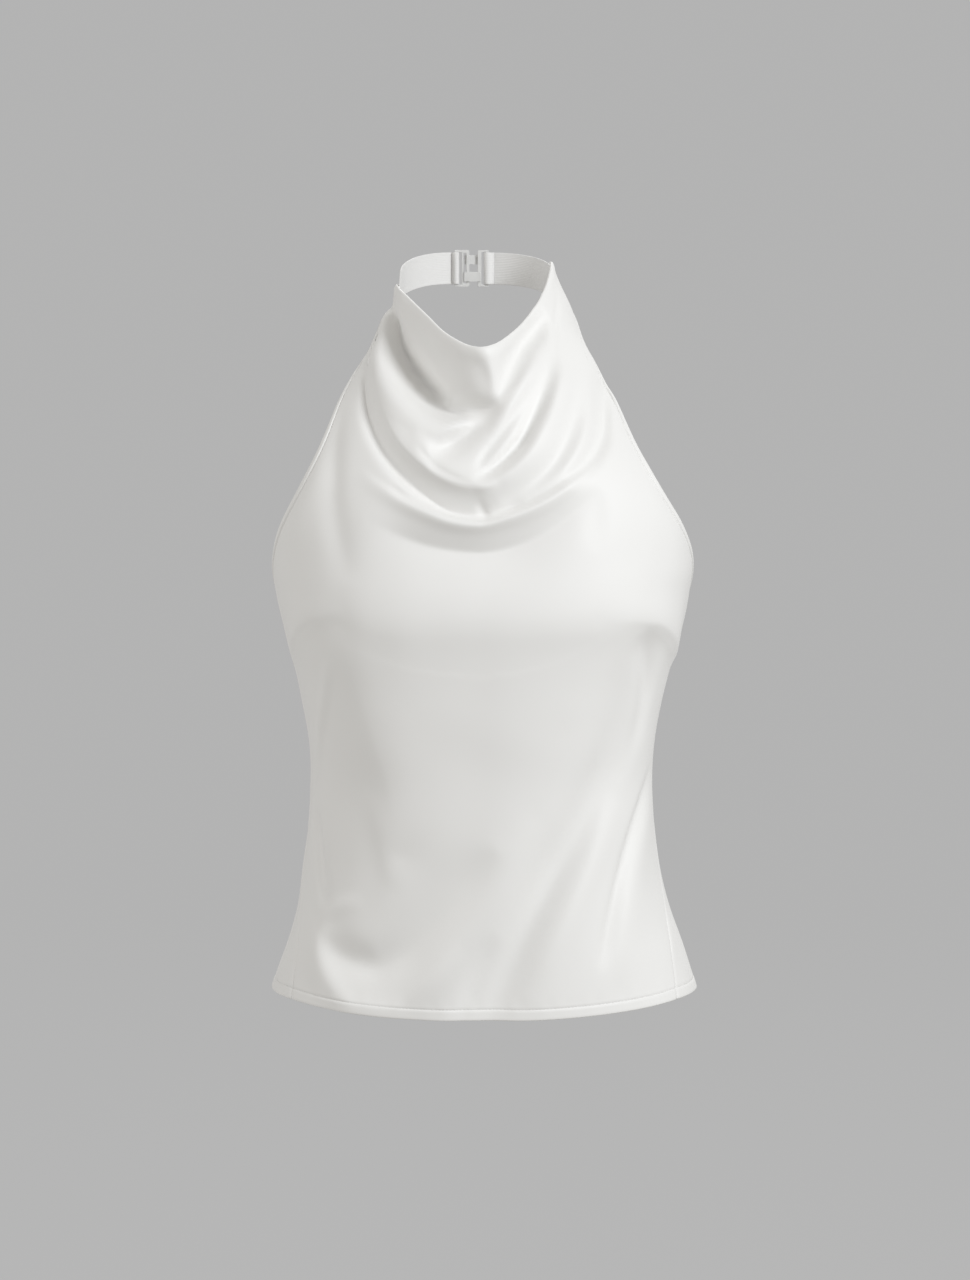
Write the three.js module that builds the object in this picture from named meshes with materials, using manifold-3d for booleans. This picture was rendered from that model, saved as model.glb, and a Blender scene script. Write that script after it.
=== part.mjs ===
import * as THREE from "three";
import Module from "manifold-3d";
import { mergeVertices } from "three/addons/utils/BufferGeometryUtils.js";

// A sleeveless satin halter top with a draped cowl neck, open at the back, in the hollow shape it
// has when it is worn. Millimetres, +Z up, front towards -Y. The origin is the middle of the neck
// loop, level with the middle of the strap at the nape.
//
// Heights in the tables are measured up from the hem's side corners. Turns are degrees round the
// garment as seen from above: 0 at the centre front, 90 at the side, 180 at the centre back.

const napeUp = 535; // from the hem's corners to the middle of the strap at the nape
const clothWall = 1.2;
const seamGap = 0.6; // between pieces that are sewn together
const neckShiftX = -4.5; // the neck loop sits a little off the body's middle
const hemDip = 7; // how much lower the hem is at the centre front than at its corners

const strapTall = 24;
const strapWall = 1.2;
const claspTall = 27.4;
const claspWide = 26; // over both posts, which the strap's ends hide
const claspThick = 2;
const postWide = 1.8;

// Level rings of the worn form: half width, depth in front of and behind the ring's middle,
// how far that middle lies behind the side plane, how square the ring is, sideways shift.
const rings = [
  { up: 550, wide: 53, fore: 52, aft: 60, behind: 14, square: 2.0, shift: 0.9 },
  { up: 534, wide: 57, fore: 58, aft: 60, behind: 14, square: 2.0, shift: 0.75 },
  { up: 519, wide: 63, fore: 66, aft: 62, behind: 13, square: 2.0, shift: 0.6 },
  { up: 505, wide: 70, fore: 73, aft: 65, behind: 12, square: 2.0, shift: 0.8 },
  { up: 490, wide: 73.5, fore: 80, aft: 70, behind: 10, square: 2.0, shift: 0.6 },
  { up: 471, wide: 84, fore: 90, aft: 78, behind: 8, square: 2.1, shift: 0.65 },
  { up: 450, wide: 98.5, fore: 101, aft: 86, behind: 5, square: 2.2, shift: 0.5 },
  { up: 430, wide: 112.5, fore: 110, aft: 92, behind: 3, square: 2.2, shift: 0.5 },
  { up: 400, wide: 129, fore: 121, aft: 97, behind: 0, square: 2.3, shift: 0.4 },
  { up: 371, wide: 145, fore: 129, aft: 100, behind: 0, square: 2.4, shift: 0.3 },
  { up: 340, wide: 154, fore: 134, aft: 101, behind: 0, square: 2.4, shift: 0 },
  { up: 312, wide: 155, fore: 137, aft: 101, behind: 0, square: 2.4, shift: -0.1 },
  { up: 298, wide: 153.4, fore: 138.4, aft: 100.5, behind: 0, square: 2.4, shift: 0 },
  { up: 285, wide: 150.8, fore: 138.2, aft: 100, behind: 0, square: 2.4, shift: 0 },
  { up: 272, wide: 147.4, fore: 135.8, aft: 99, behind: 0, square: 2.4, shift: 0 },
  { up: 260, wide: 144, fore: 133, aft: 98, behind: 0, square: 2.4, shift: 0.1 },
  { up: 222, wide: 135, fore: 125, aft: 93, behind: 0, square: 2.3, shift: 0.1 },
  { up: 192, wide: 129.2, fore: 120, aft: 90, behind: 0, square: 2.3, shift: 0.1 },
  { up: 155, wide: 126.8, fore: 116, aft: 88, behind: 0, square: 2.2, shift: 0.15 },
  { up: 118, wide: 129, fore: 114, aft: 90, behind: 0, square: 2.2, shift: 0.15 },
  { up: 89, wide: 133, fore: 113, aft: 93, behind: 0, square: 2.2, shift: 0.1 },
  { up: 59, wide: 139, fore: 113, aft: 98, behind: 0, square: 2.2, shift: -0.2 },
  { up: 30, wide: 148.2, fore: 113, aft: 103, behind: 0, square: 2.2, shift: -0.35 },
  { up: 0, wide: 158, fore: 113, aft: 108, behind: 0, square: 2.2, shift: -0.3 },
  { up: -20, wide: 164, fore: 113, aft: 112, behind: 0, square: 2.2, shift: -0.3 },
];

// The front panel's side edge from the strap seam, down the armhole and then the side seam.
const underarmUp = 285;
const strapSeamLow = 507;
const sideEdge = [
  { up: 531, turn: 100 },
  { up: strapSeamLow, turn: 98 },
  { up: 490, turn: 86 },
  { up: 475, turn: 76 },
  { up: 460, turn: 69 },
  { up: 430, turn: 62 },
  { up: 400, turn: 60 },
  { up: 371, turn: 62 },
  { up: 348, turn: 68 },
  { up: 330, turn: 75 },
  { up: 312, turn: 84 },
  { up: 296, turn: 93 },
  { up: underarmUp, turn: 99 },
  { up: 262, turn: 98 },
  { up: 222, turn: 93 },
  { up: 192, turn: 91 },
  { up: 155, turn: 90 },
  { up: 118, turn: 86 },
  { up: 89, turn: 82 },
  { up: 59, turn: 76 },
  { up: 30, turn: 71 },
  { up: 0, turn: 68 },
];

// Crosswise threads of the front panel, top to bottom: the height of a thread at the side edge
// and at the centre front, how sharply it bends between them, how level it comes to its side edge,
// how much lower its left end is, and how many strips lie below it. The first thread is the neck
// edge.
const frontThreads = [
  { side: 531, mid: 470, bend: 0.42, level: 0, leftDrop: 9, strips: 4 },
  { side: 519, mid: 441, bend: 0.8, level: 0.1, leftDrop: 5, strips: 4 },
  { side: strapSeamLow, mid: 408, bend: 1.3, level: 0.6, leftDrop: 0, strips: 5 },
  { side: 488, mid: 376, bend: 1.8, level: 0.9, leftDrop: 0, strips: 4 },
  { side: 462, mid: 354, bend: 2.0, level: 0.9, leftDrop: 0, strips: 3 },
  { side: 430, mid: 340, bend: 2.0, level: 0.9, leftDrop: 0, strips: 3 },
  { side: 395, mid: 326, bend: 2.0, level: 0.9, leftDrop: 0, strips: 2 },
  { side: 360, mid: 312, bend: 2.0, level: 0.7, leftDrop: 0, strips: 2 },
  { side: 325, mid: 297, bend: 2.0, level: 0.5, leftDrop: 0, strips: 2 },
  { side: underarmUp, mid: 272, bend: 2.0, level: 0.3, leftDrop: 0, strips: 4 },
  { side: 222, mid: 214, bend: 2.0, level: 0, leftDrop: 0, strips: 4 },
  { side: 155, mid: 148, bend: 2.0, level: 0, leftDrop: 0, strips: 4 },
  { side: 75, mid: 68, bend: 2.0, level: 0, leftDrop: 0, strips: 4 },
  { side: 0, mid: -hemDip, bend: 2.0, level: 0, leftDrop: 0, strips: 0 },
];

// Folds of the front panel: a fold follows its points, given across and up as seen from the
// front, and stands out (or in, where high is negative) by high, over about twice wide.
const frontFolds = [
  {
    name: "neck edge standing out",
    points: [
      { across: -58, up: 512, high: 0, wide: 16 },
      { across: -40, up: 495, high: 5, wide: 20 },
      { across: -18, up: 479, high: 11, wide: 24 },
      { across: 0, up: 471, high: 14, wide: 26 },
      { across: 18, up: 479, high: 11, wide: 24 },
      { across: 38, up: 497, high: 5, wide: 20 },
      { across: 52, up: 520, high: 0, wide: 16 },
    ],
  },
  {
    name: "deep tuck under the left of the neck edge",
    points: [
      { across: -71, up: 500, high: -2, wide: 8 },
      { across: -66, up: 480, high: -8, wide: 10 },
      { across: -58, up: 456, high: -12, wide: 11 },
      { across: -46, up: 440, high: -13, wide: 11 },
      { across: -30, up: 428, high: -11, wide: 11 },
      { across: -12, up: 425, high: -7, wide: 10 },
      { across: 4, up: 436, high: -3, wide: 10 },
    ],
  },
  {
    name: "roll of the second swag",
    points: [
      { across: -73, up: 470, high: 2, wide: 9 },
      { across: -71, up: 444, high: 5, wide: 10 },
      { across: -55, up: 414, high: 7, wide: 10 },
      { across: -30, up: 388, high: 8, wide: 10 },
      { across: -2, up: 373, high: 8, wide: 10 },
      { across: 26, up: 386, high: 6, wide: 10 },
      { across: 50, up: 410, high: 4, wide: 10 },
      { across: 66, up: 438, high: 1, wide: 10 },
    ],
  },
  {
    name: "trough below the second swag",
    points: [
      { across: -84, up: 455, high: -2, wide: 9 },
      { across: -79, up: 425, high: -5, wide: 10 },
      { across: -65, up: 396, high: -8, wide: 10 },
      { across: -42, up: 370, high: -9, wide: 10 },
      { across: -18, up: 355, high: -8, wide: 9 },
      { across: 4, up: 351, high: -6, wide: 9 },
      { across: 30, up: 361, high: -3, wide: 9 },
      { across: 60, up: 383, high: -2, wide: 9 },
    ],
  },
  {
    name: "trough up the right of the cowl",
    points: [
      { across: 0, up: 392, high: -2, wide: 10 },
      { across: 22, up: 402, high: -5, wide: 10 },
      { across: 38, up: 420, high: -6, wide: 11 },
      { across: 50, up: 446, high: -4, wide: 12 },
      { across: 54, up: 470, high: -1, wide: 12 },
    ],
  },
  {
    name: "lip of the third swag",
    points: [
      { across: -70, up: 366, high: 1, wide: 9 },
      { across: -36, up: 350, high: 4, wide: 9 },
      { across: 0, up: 343, high: 6, wide: 9 },
      { across: 40, up: 353, high: 5, wide: 10 },
      { across: 80, up: 374, high: 3, wide: 11 },
      { across: 100, up: 404, high: 1, wide: 11 },
    ],
  },
  {
    name: "trough under the third swag",
    points: [
      { across: -72, up: 350, high: -2, wide: 10 },
      { across: -44, up: 334, high: -6, wide: 11 },
      { across: 0, up: 325, high: -7, wide: 12 },
      { across: 44, up: 333, high: -6, wide: 11 },
      { across: 84, up: 354, high: -3, wide: 10 },
    ],
  },
  {
    name: "drag line from the left armhole",
    points: [
      { across: -100, up: 422, high: -2, wide: 10 },
      { across: -104, up: 390, high: -6, wide: 10 },
      { across: -101, up: 350, high: -6, wide: 10 },
      { across: -97, up: 322, high: -2, wide: 10 },
    ],
  },
  {
    name: "fall from the left of the bust",
    points: [
      { across: -108, up: 258, high: -3, wide: 14 },
      { across: -98, up: 210, high: -6, wide: 16 },
      { across: -82, up: 160, high: -7, wide: 16 },
      { across: -66, up: 110, high: -4, wide: 15 },
    ],
  },
  {
    name: "slanting trough above the left of the hem",
    points: [
      { across: -108, up: 34, high: -5, wide: 13 },
      { across: -80, up: 38, high: -8, wide: 16 },
      { across: -44, up: 58, high: -7, wide: 18 },
      { across: -8, up: 88, high: -4, wide: 18 },
      { across: 22, up: 120, high: -1, wide: 18 },
    ],
  },
  {
    name: "slanting crease at the right of the waist",
    points: [
      { across: 118, up: 146, high: -2, wide: 9 },
      { across: 110, up: 108, high: -5, wide: 10 },
      { across: 102, up: 68, high: -5, wide: 10 },
      { across: 95, up: 34, high: -2, wide: 10 },
    ],
  },
  {
    name: "broad slanting trough right of the middle",
    points: [
      { across: 88, up: 148, high: -2, wide: 12 },
      { across: 66, up: 100, high: -5, wide: 14 },
      { across: 42, up: 56, high: -6, wide: 15 },
      { across: 20, up: 22, high: -3, wide: 15 },
    ],
  },
  {
    name: "swell between the two slanting folds",
    points: [
      { across: -20, up: 20, high: 2, wide: 16 },
      { across: 16, up: 66, high: 3, wide: 18 },
      { across: 44, up: 120, high: 2, wide: 18 },
    ],
  },
];

const backFolds = [
  {
    name: "fall left of the middle",
    points: [
      { across: 62, up: 190, high: -2, wide: 14 },
      { across: 58, up: 120, high: -6, wide: 17 },
      { across: 66, up: 40, high: -7, wide: 19 },
      { across: 70, up: -10, high: -7, wide: 20 },
    ],
  },
  {
    name: "fall right of the middle",
    points: [
      { across: -50, up: 160, high: -2, wide: 14 },
      { across: -60, up: 90, high: -6, wide: 18 },
      { across: -74, up: 20, high: -8, wide: 20 },
      { across: -78, up: -10, high: -8, wide: 20 },
    ],
  },
  {
    name: "swell down the middle",
    points: [
      { across: 6, up: 130, high: 2, wide: 20 },
      { across: -2, up: 60, high: 5, wide: 24 },
      { across: -6, up: -10, high: 6, wide: 26 },
    ],
  },
];

const radians = THREE.MathUtils.degToRad;

// A smooth curve through one column of a table, with no overshoot between its rows.
function along(table, key, at, column) {
  const falling = table[0][key] > table[table.length - 1][key];
  const rows = falling ? [...table].reverse() : table;
  const last = rows.length - 1;
  if (at <= rows[0][key]) return rows[0][column];
  if (at >= rows[last][key]) return rows[last][column];
  let i = 0;
  while (rows[i + 1][key] < at) i += 1;
  const run = (j) => rows[j + 1][key] - rows[j][key];
  const slope = (j) => (rows[j + 1][column] - rows[j][column]) / run(j);
  const tangent = (j) => {
    if (j === 0) return slope(0);
    if (j === last) return slope(last - 1);
    const [a, b] = [slope(j - 1), slope(j)];
    if (a * b <= 0) return 0;
    const mean = (a * run(j) + b * run(j - 1)) / (run(j) + run(j - 1));
    const limit = 3 * Math.min(Math.abs(a), Math.abs(b));
    return Math.sign(mean) * Math.min(Math.abs(mean), limit);
  };
  const h = run(i);
  const t = (at - rows[i][key]) / h;
  const [p, q] = [rows[i][column], rows[i + 1][column]];
  const [m, n] = [tangent(i) * h, tangent(i + 1) * h];
  const [t2, t3] = [t * t, t * t * t];
  return (
    p * (2 * t3 - 3 * t2 + 1) + m * (t3 - 2 * t2 + t) + q * (3 * t2 - 2 * t3) + n * (t3 - t2)
  );
}

// The point of the worn form at a turn, in degrees, and a height above the hem's corners.
function formPoint(turn, up) {
  const ring = (column) => along(rings, "up", up, column);
  const [sine, cosine] = [Math.sin(radians(turn)), Math.cos(radians(turn))];
  const depth = cosine > 0 ? ring("fore") : ring("aft");
  const square = ring("square");
  const reach = Math.pow(
    Math.pow(Math.abs(sine) / ring("wide"), square) +
      Math.pow(Math.abs(cosine) / depth, square),
    -1 / square,
  );
  return new THREE.Vector3(
    neckShiftX * ring("shift") + reach * sine,
    ring("behind") - reach * cosine,
    up - napeUp,
  );
}

// The point of the form that is that far across, on its front or on its back.
function formPointAcross(across, up, onBack) {
  let [low, high] = onBack ? [90, 270] : [-90, 90];
  for (let step = 0; step < 24; step += 1) {
    const middle = (low + high) / 2;
    const tooFar = formPoint(middle, up).x > across;
    if (tooFar !== onBack) high = middle;
    else low = middle;
  }
  return formPoint((low + high) / 2, up);
}

// A fold as short straight stretches on the form, each end with its height and width.
function layFold(fold, onBack) {
  const steps = 6;
  const stops = [];
  const rows = fold.points.map((point, order) => ({ ...point, order }));
  for (let k = 0; k <= (rows.length - 1) * steps; k += 1) {
    const at = (column) => along(rows, "order", k / steps, column);
    const place = formPointAcross(at("across"), at("up"), onBack);
    stops.push({ place, high: at("high"), wide: at("wide") });
  }
  return stops;
}

// How far out the folds carry the point of the form at that place.
function foldHeight(place, folds) {
  let total = 0;
  for (const stops of folds) {
    let best = { far: Infinity, high: 0, wide: 1 };
    for (let k = 0; k + 1 < stops.length; k += 1) {
      const stretch = new THREE.Line3(stops[k].place, stops[k + 1].place);
      const t = stretch.closestPointToPointParameter(place, true);
      const far = stretch.at(t, new THREE.Vector3()).distanceTo(place);
      if (far < best.far) {
        const high = THREE.MathUtils.lerp(stops[k].high, stops[k + 1].high, t);
        const wide = THREE.MathUtils.lerp(stops[k].wide, stops[k + 1].wide, t);
        best = { far, high, wide };
      }
    }
    total += best.high * Math.exp(-Math.pow(best.far / best.wide, 2));
  }
  return total;
}

// Normals of a grid of points, rows running down and columns running towards +X on the front.
function gridNormals(grid) {
  const [rows, columns] = [grid.length, grid[0].length];
  return grid.map((line, i) =>
    line.map((_, j) => {
      const down = grid[Math.min(i + 1, rows - 1)][j].clone().sub(grid[Math.max(i - 1, 0)][j]);
      const over = line[Math.min(j + 1, columns - 1)].clone().sub(line[Math.max(j - 1, 0)]);
      return down.cross(over).normalize();
    }),
  );
}

function moved(grid, normals, by) {
  return grid.map((line, i) =>
    line.map((place, j) => place.clone().addScaledVector(normals[i][j], by(place))),
  );
}

// The direction in which a fold pushes the cloth: nearly level, and more fore and aft than sideways.
const foldDirection = (normal) =>
  new THREE.Vector3(0.5 * normal.x, normal.y, 0.25 * normal.z).normalize();

// A closed wall between an outer grid of points and one behind it.
function wallBetween(outer, inner) {
  const [rows, columns] = [outer.length, outer[0].length];
  const positions = [...outer.flat(), ...inner.flat()].flatMap((p) => [p.x, p.y, p.z]);
  const at = (i, j, behind) => (behind ? rows * columns : 0) + i * columns + j;
  const index = [];
  const face = (a, b, c, d) => index.push(a, b, c, a, c, d);
  for (let i = 0; i + 1 < rows; i += 1)
    for (let j = 0; j + 1 < columns; j += 1) {
      face(at(i, j, 0), at(i + 1, j, 0), at(i + 1, j + 1, 0), at(i, j + 1, 0));
      face(at(i, j, 1), at(i, j + 1, 1), at(i + 1, j + 1, 1), at(i + 1, j, 1));
    }
  for (let j = 0; j + 1 < columns; j += 1) {
    face(at(0, j, 0), at(0, j + 1, 0), at(0, j + 1, 1), at(0, j, 1));
    face(at(rows - 1, j, 0), at(rows - 1, j, 1), at(rows - 1, j + 1, 1), at(rows - 1, j + 1, 0));
  }
  for (let i = 0; i + 1 < rows; i += 1) {
    face(at(i, 0, 0), at(i, 0, 1), at(i + 1, 0, 1), at(i + 1, 0, 0));
    face(
      at(i, columns - 1, 0),
      at(i + 1, columns - 1, 0),
      at(i + 1, columns - 1, 1),
      at(i, columns - 1, 1),
    );
  }
  const geometry = new THREE.BufferGeometry();
  geometry.setAttribute("position", new THREE.Float32BufferAttribute(positions, 3));
  geometry.setIndex(index);
  return geometry;
}

function clothFrom(grid, wall) {
  const normals = gridNormals(grid);
  return wallBetween(
    grid,
    moved(grid, normals, () => -wall),
  );
}

// How far the seam's gap turns the edges of the panels back from the seam at that height.
const seamTurn = (side) =>
  THREE.MathUtils.radToDeg(seamGap / 2 / along(rings, "up", side, "wide"));

// Every crosswise thread of the front panel, with the rows between those of its table.
function everyThread() {
  const rows = frontThreads.map((thread, order) => ({ ...thread, order }));
  const orders = rows.flatMap((row) =>
    Array.from({ length: row.strips }, (_, k) => row.order + k / row.strips),
  );
  orders.push(rows.length - 1);
  return orders.map((order) => ({
    side: along(rows, "order", order, "side"),
    mid: along(rows, "order", order, "mid"),
    bend: along(rows, "order", order, "bend"),
    level: along(rows, "order", order, "level"),
    leftDrop: along(rows, "order", order, "leftDrop"),
  }));
}

// The front panel: threads hung between its side edges, with the folds pushed in or out.
function frontGrid() {
  const columns = 36;
  const softness = 0.1; // rounds the lowest point of a sharply bent thread
  const grid = everyThread().map(({ side, mid, bend, level, leftDrop }) => {
    const span = along(sideEdge, "up", side, "turn") - seamTurn(side);
    const rise = (s) => Math.pow(s * s + softness * softness, bend / 2);
    return Array.from({ length: columns + 1 }, (_, j) => {
      const s = (2 * j) / columns - 1;
      const steep = (rise(s) - rise(0)) / (rise(1) - rise(0));
      const share = steep + level * ((1 - Math.cos(Math.PI * s)) / 2 - steep);
      const drop = s < 0 ? leftDrop * Math.pow(s, 4) : 0;
      return formPoint(s * span, mid + (side - mid) * share - drop);
    });
  });
  const folds = frontFolds.map((fold) => layFold(fold, false));
  const directions = gridNormals(grid).map((line) => line.map(foldDirection));
  return moved(grid, directions, (place) => foldHeight(place, folds));
}

// The back panel: from side seam to side seam, with its top edge under the shoulder blades.
const backTopMid = 262; // height of the top edge at the centre back
function backGrid() {
  const columns = 26;
  const sides = everyThread().map((thread) => thread.side);
  const grid = sides
    .filter((side) => side <= underarmUp)
    .map((side) => {
      const mid = (backTopMid * side) / underarmUp;
      const span = 180 - along(sideEdge, "up", side, "turn") - seamTurn(side);
      return Array.from({ length: columns + 1 }, (_, j) => {
        const s = (2 * j) / columns - 1;
        return formPoint(180 + s * span, mid + (side - mid) * s * s);
      });
    });
  const folds = backFolds.map((fold) => layFold(fold, true));
  const directions = gridNormals(grid).map((line) => line.map(foldDirection));
  return moved(grid, directions, (place) => foldHeight(place, folds));
}

// A ribbon through stations that each hold the top and the bottom of its middle.
function ribbon(stations, wall) {
  const last = stations.length - 1;
  const sideways = stations.map((_, k) => {
    const [from, to] = [stations[Math.max(k - 1, 0)], stations[Math.min(k + 1, last)]];
    const ahead = to.top.clone().sub(from.top);
    return new THREE.Vector3(ahead.y, -ahead.x, 0).normalize();
  });
  const skin = (out) =>
    ["top", "bottom"].map((end) =>
      stations.map((station, k) => station[end].clone().addScaledVector(sideways[k], out)),
    );
  return wallBetween(skin(wall / 2), skin(-wall / 2));
}

// The strap's oval, seen from above: where its middle is across, its half width at its top and at
// its bottom edge, where it leaves the front panel, its depth behind its middle, how far back that
// middle lies, and how high the strap's own middle is where it starts.
const strapOval = { across: -4, topWide: 55, bottomWide: 57.8, aft: 61, behind: 13, startUp: 519 };
const strapWide = (strapOval.topWide + strapOval.bottomWide) / 2;

// How far back the strap's oval lies at a place across.
function strapBehind(across) {
  const share = (across - strapOval.across) / strapWide;
  return strapOval.behind + strapOval.aft * Math.sqrt(1 - share * share);
}

// The clasp stands across the nape, off the middle, with a post at each end. The strap's ends go
// round the posts, clear of their corners.
const claspX = -8.2;
const postInset = (claspWide - postWide) / 2;
const postRadius = Math.hypot(postWide, claspThick) / 2 + 0.3 + strapWall / 2;
const postLine = [-1, 1].map((side) => strapBehind(claspX + side * postInset) - postRadius);
const claspY = (postLine[0] + postLine[1]) / 2;
const claspTurn = Math.atan2(postLine[1] - postLine[0], 2 * postInset);

// One half of the strap, from inside the front panel's corner round to the clasp, where it goes
// round the post and is folded back on itself. side is 1 for +X.
function strapHalf(side) {
  const stations = [];
  const post = new THREE.Vector2(
    claspX + side * postInset * Math.cos(claspTurn),
    claspY + side * postInset * Math.sin(claspTurn),
  );
  const beforePost = 3;
  const lastAcross = Math.abs(post.x + side * beforePost - strapOval.across);
  const [startTurn, endTurn] = [Math.PI / 2, Math.PI - Math.asin(lastAcross / strapWide)];
  const lean = (strapOval.bottomWide - strapOval.topWide) / 2;
  const steps = 16;
  for (let k = 0; k <= steps; k += 1) {
    const share = k / steps;
    const turn = startTurn + (endTurn - startTurn) * share;
    const drop = (napeUp - strapOval.startUp) * (1 - Math.sin((share * Math.PI) / 2));
    const edge = (half) => {
      const inwards = half * lean * (1 - share);
      return new THREE.Vector3(
        strapOval.across + side * (strapWide - inwards) * Math.sin(turn),
        strapOval.behind - (strapOval.aft - inwards) * Math.cos(turn),
        (half * strapTall) / 2 - drop,
      );
    };
    stations.push({ top: edge(1), bottom: edge(-1) });
  }
  const upright = (x, y) => ({
    top: new THREE.Vector3(x, y, strapTall / 2),
    bottom: new THREE.Vector3(x, y, -strapTall / 2),
  });
  const turnSteps = 6;
  for (let k = 0; k <= turnSteps; k += 1) {
    const bend = (Math.PI * k) / turnSteps;
    const [x, y] = [-side * postRadius * Math.sin(bend), postRadius * Math.cos(bend)];
    stations.push(upright(post.x + x, post.y + y));
  }
  const tail = 5;
  const tailX = post.x + side * tail;
  const tailY = strapBehind(tailX) - Math.max(2 * postRadius, strapWall + 0.4);
  stations.push(upright(tailX, tailY));
  return side > 0 ? stations.reverse() : stations;
}

// A flat plate with holes, standing upright: the outline's points are across and up, from the
// clasp's middle, and y is how far outwards the plate's own middle lies.
function plate(outline, holes, thick, y) {
  const corners = (points) => points.map(([x, z]) => new THREE.Vector2(x, z));
  const shape = new THREE.Shape(corners(outline));
  shape.holes = holes.map((hole) => new THREE.Path(corners(hole)));
  const geometry = new THREE.ExtrudeGeometry(shape, { depth: thick, bevelEnabled: false });
  geometry.rotateX(Math.PI / 2);
  geometry.translate(0, y + thick / 2, 0);
  return geometry;
}

const rectangle = (x0, x1, z0, z1) => [
  [x0, z0],
  [x1, z0],
  [x1, z1],
  [x0, z1],
];

const wasm = await Module();
wasm.setup();

function solidOf(geometry) {
  const bare = geometry.clone();
  bare.deleteAttribute("normal");
  bare.deleteAttribute("uv");
  const merged = mergeVertices(bare, 1e-4);
  return new wasm.Manifold(
    new wasm.Mesh({
      numProp: 3,
      vertProperties: merged.attributes.position.array,
      triVerts: new Uint32Array(merged.index.array),
    }),
  );
}

function geometryOf(solid) {
  const mesh = solid.getMesh();
  const geometry = new THREE.BufferGeometry();
  const positions = new Float32Array(mesh.numVert * 3);
  for (let i = 0; i < mesh.numVert; i += 1)
    positions.set(mesh.vertProperties.subarray(i * mesh.numProp, i * mesh.numProp + 3), i * 3);
  geometry.setAttribute("position", new THREE.BufferAttribute(positions, 3));
  geometry.setIndex(new THREE.BufferAttribute(mesh.triVerts, 1));
  return geometry;
}

// Places along the clasp, from its middle towards +X for the hook and towards -X for the loop.
const claspHalf = claspWide / 2;
const tallHalf = claspTall / 2;
const slotHalf = strapTall / 2 + 0.35;
const slotInner = 7.4; // where the strap's slot ends, on both halves
const windowFrom = 4;
const windowTo = 6.2;
const windowHalf = 11.6;
const barFrom = 1.8; // the loop's bar, which the hook holds, ends at its window

// The loop half: a frame with the left strap's slot, and a bar behind a window for the hook.
function claspLoop() {
  return plate(
    rectangle(-claspHalf, -barFrom, -tallHalf, tallHalf),
    [
      rectangle(-claspHalf + postWide, -slotInner, -slotHalf, slotHalf),
      rectangle(-windowTo, -windowFrom, -windowHalf, windowHalf),
    ],
    claspThick,
    0,
  );
}

// The hook half: a frame with the right strap's slot, and two prongs. The upper one lies behind
// the loop's bar; the lower one lies in front of it and turns in through the loop's window.
const bodyFrom = 4.6;
const prongThick = 1.1;
const prongLift = claspThick / 2 + 0.3 + prongThick / 2;
const upperProng = { tip: -5.2, low: 3.2, high: 10, y: prongLift };
const lowerProng = { tip: -5.8, low: -10, high: -2.8, y: -prongLift };
function claspHook() {
  const frame = plate(
    rectangle(bodyFrom, claspHalf, -tallHalf, tallHalf),
    [rectangle(slotInner, claspHalf - postWide, -slotHalf, slotHalf)],
    claspThick,
    0,
  );
  const solids = [solidOf(frame)];
  for (const prong of [upperProng, lowerProng]) {
    const tongue = rectangle(prong.tip, slotInner - 0.4, prong.low, prong.high);
    solids.push(solidOf(plate(tongue, [], prongThick, prong.y)));
    const root = rectangle(bodyFrom, slotInner - 0.4, prong.low, prong.high);
    solids.push(solidOf(plate(root, [], prongLift, prong.y / 2)));
  }
  const lip = rectangle(lowerProng.tip, lowerProng.tip + 1.4, lowerProng.low, lowerProng.high);
  const lipThick = prongLift + claspThick / 2;
  solids.push(solidOf(plate(lip, [], lipThick, claspThick / 4 - prongLift / 2)));
  return geometryOf(solids.reduce((whole, solid) => whole.add(solid)));
}

const satin = new THREE.MeshStandardMaterial({ color: 0xf4f2ee, roughness: 0.38, metalness: 0 });
const elastic = new THREE.MeshStandardMaterial({ color: 0xe9e8e4, roughness: 0.6, metalness: 0 });
const nylon = new THREE.MeshStandardMaterial({ color: 0xe6e6e1, roughness: 0.3, metalness: 0 });

const top = new THREE.Group();

function addPiece(name, geometry, material, group = top) {
  const piece = new THREE.Mesh(geometry, material);
  piece.name = name;
  group.add(piece);
}

addPiece("front_panel", clothFrom(frontGrid(), clothWall), satin);
addPiece("back_panel", clothFrom(backGrid(), clothWall), satin);
addPiece("strap_left", ribbon(strapHalf(-1), strapWall), elastic);
addPiece("strap_right", ribbon(strapHalf(1), strapWall), elastic);

const clasp = new THREE.Group();
clasp.position.set(claspX, claspY, 0);
clasp.rotation.z = claspTurn;
addPiece("clasp_loop", claspLoop(), nylon, clasp);
addPiece("clasp_hook", claspHook(), nylon, clasp);
top.add(clasp);

export default top;
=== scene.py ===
import math

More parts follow.
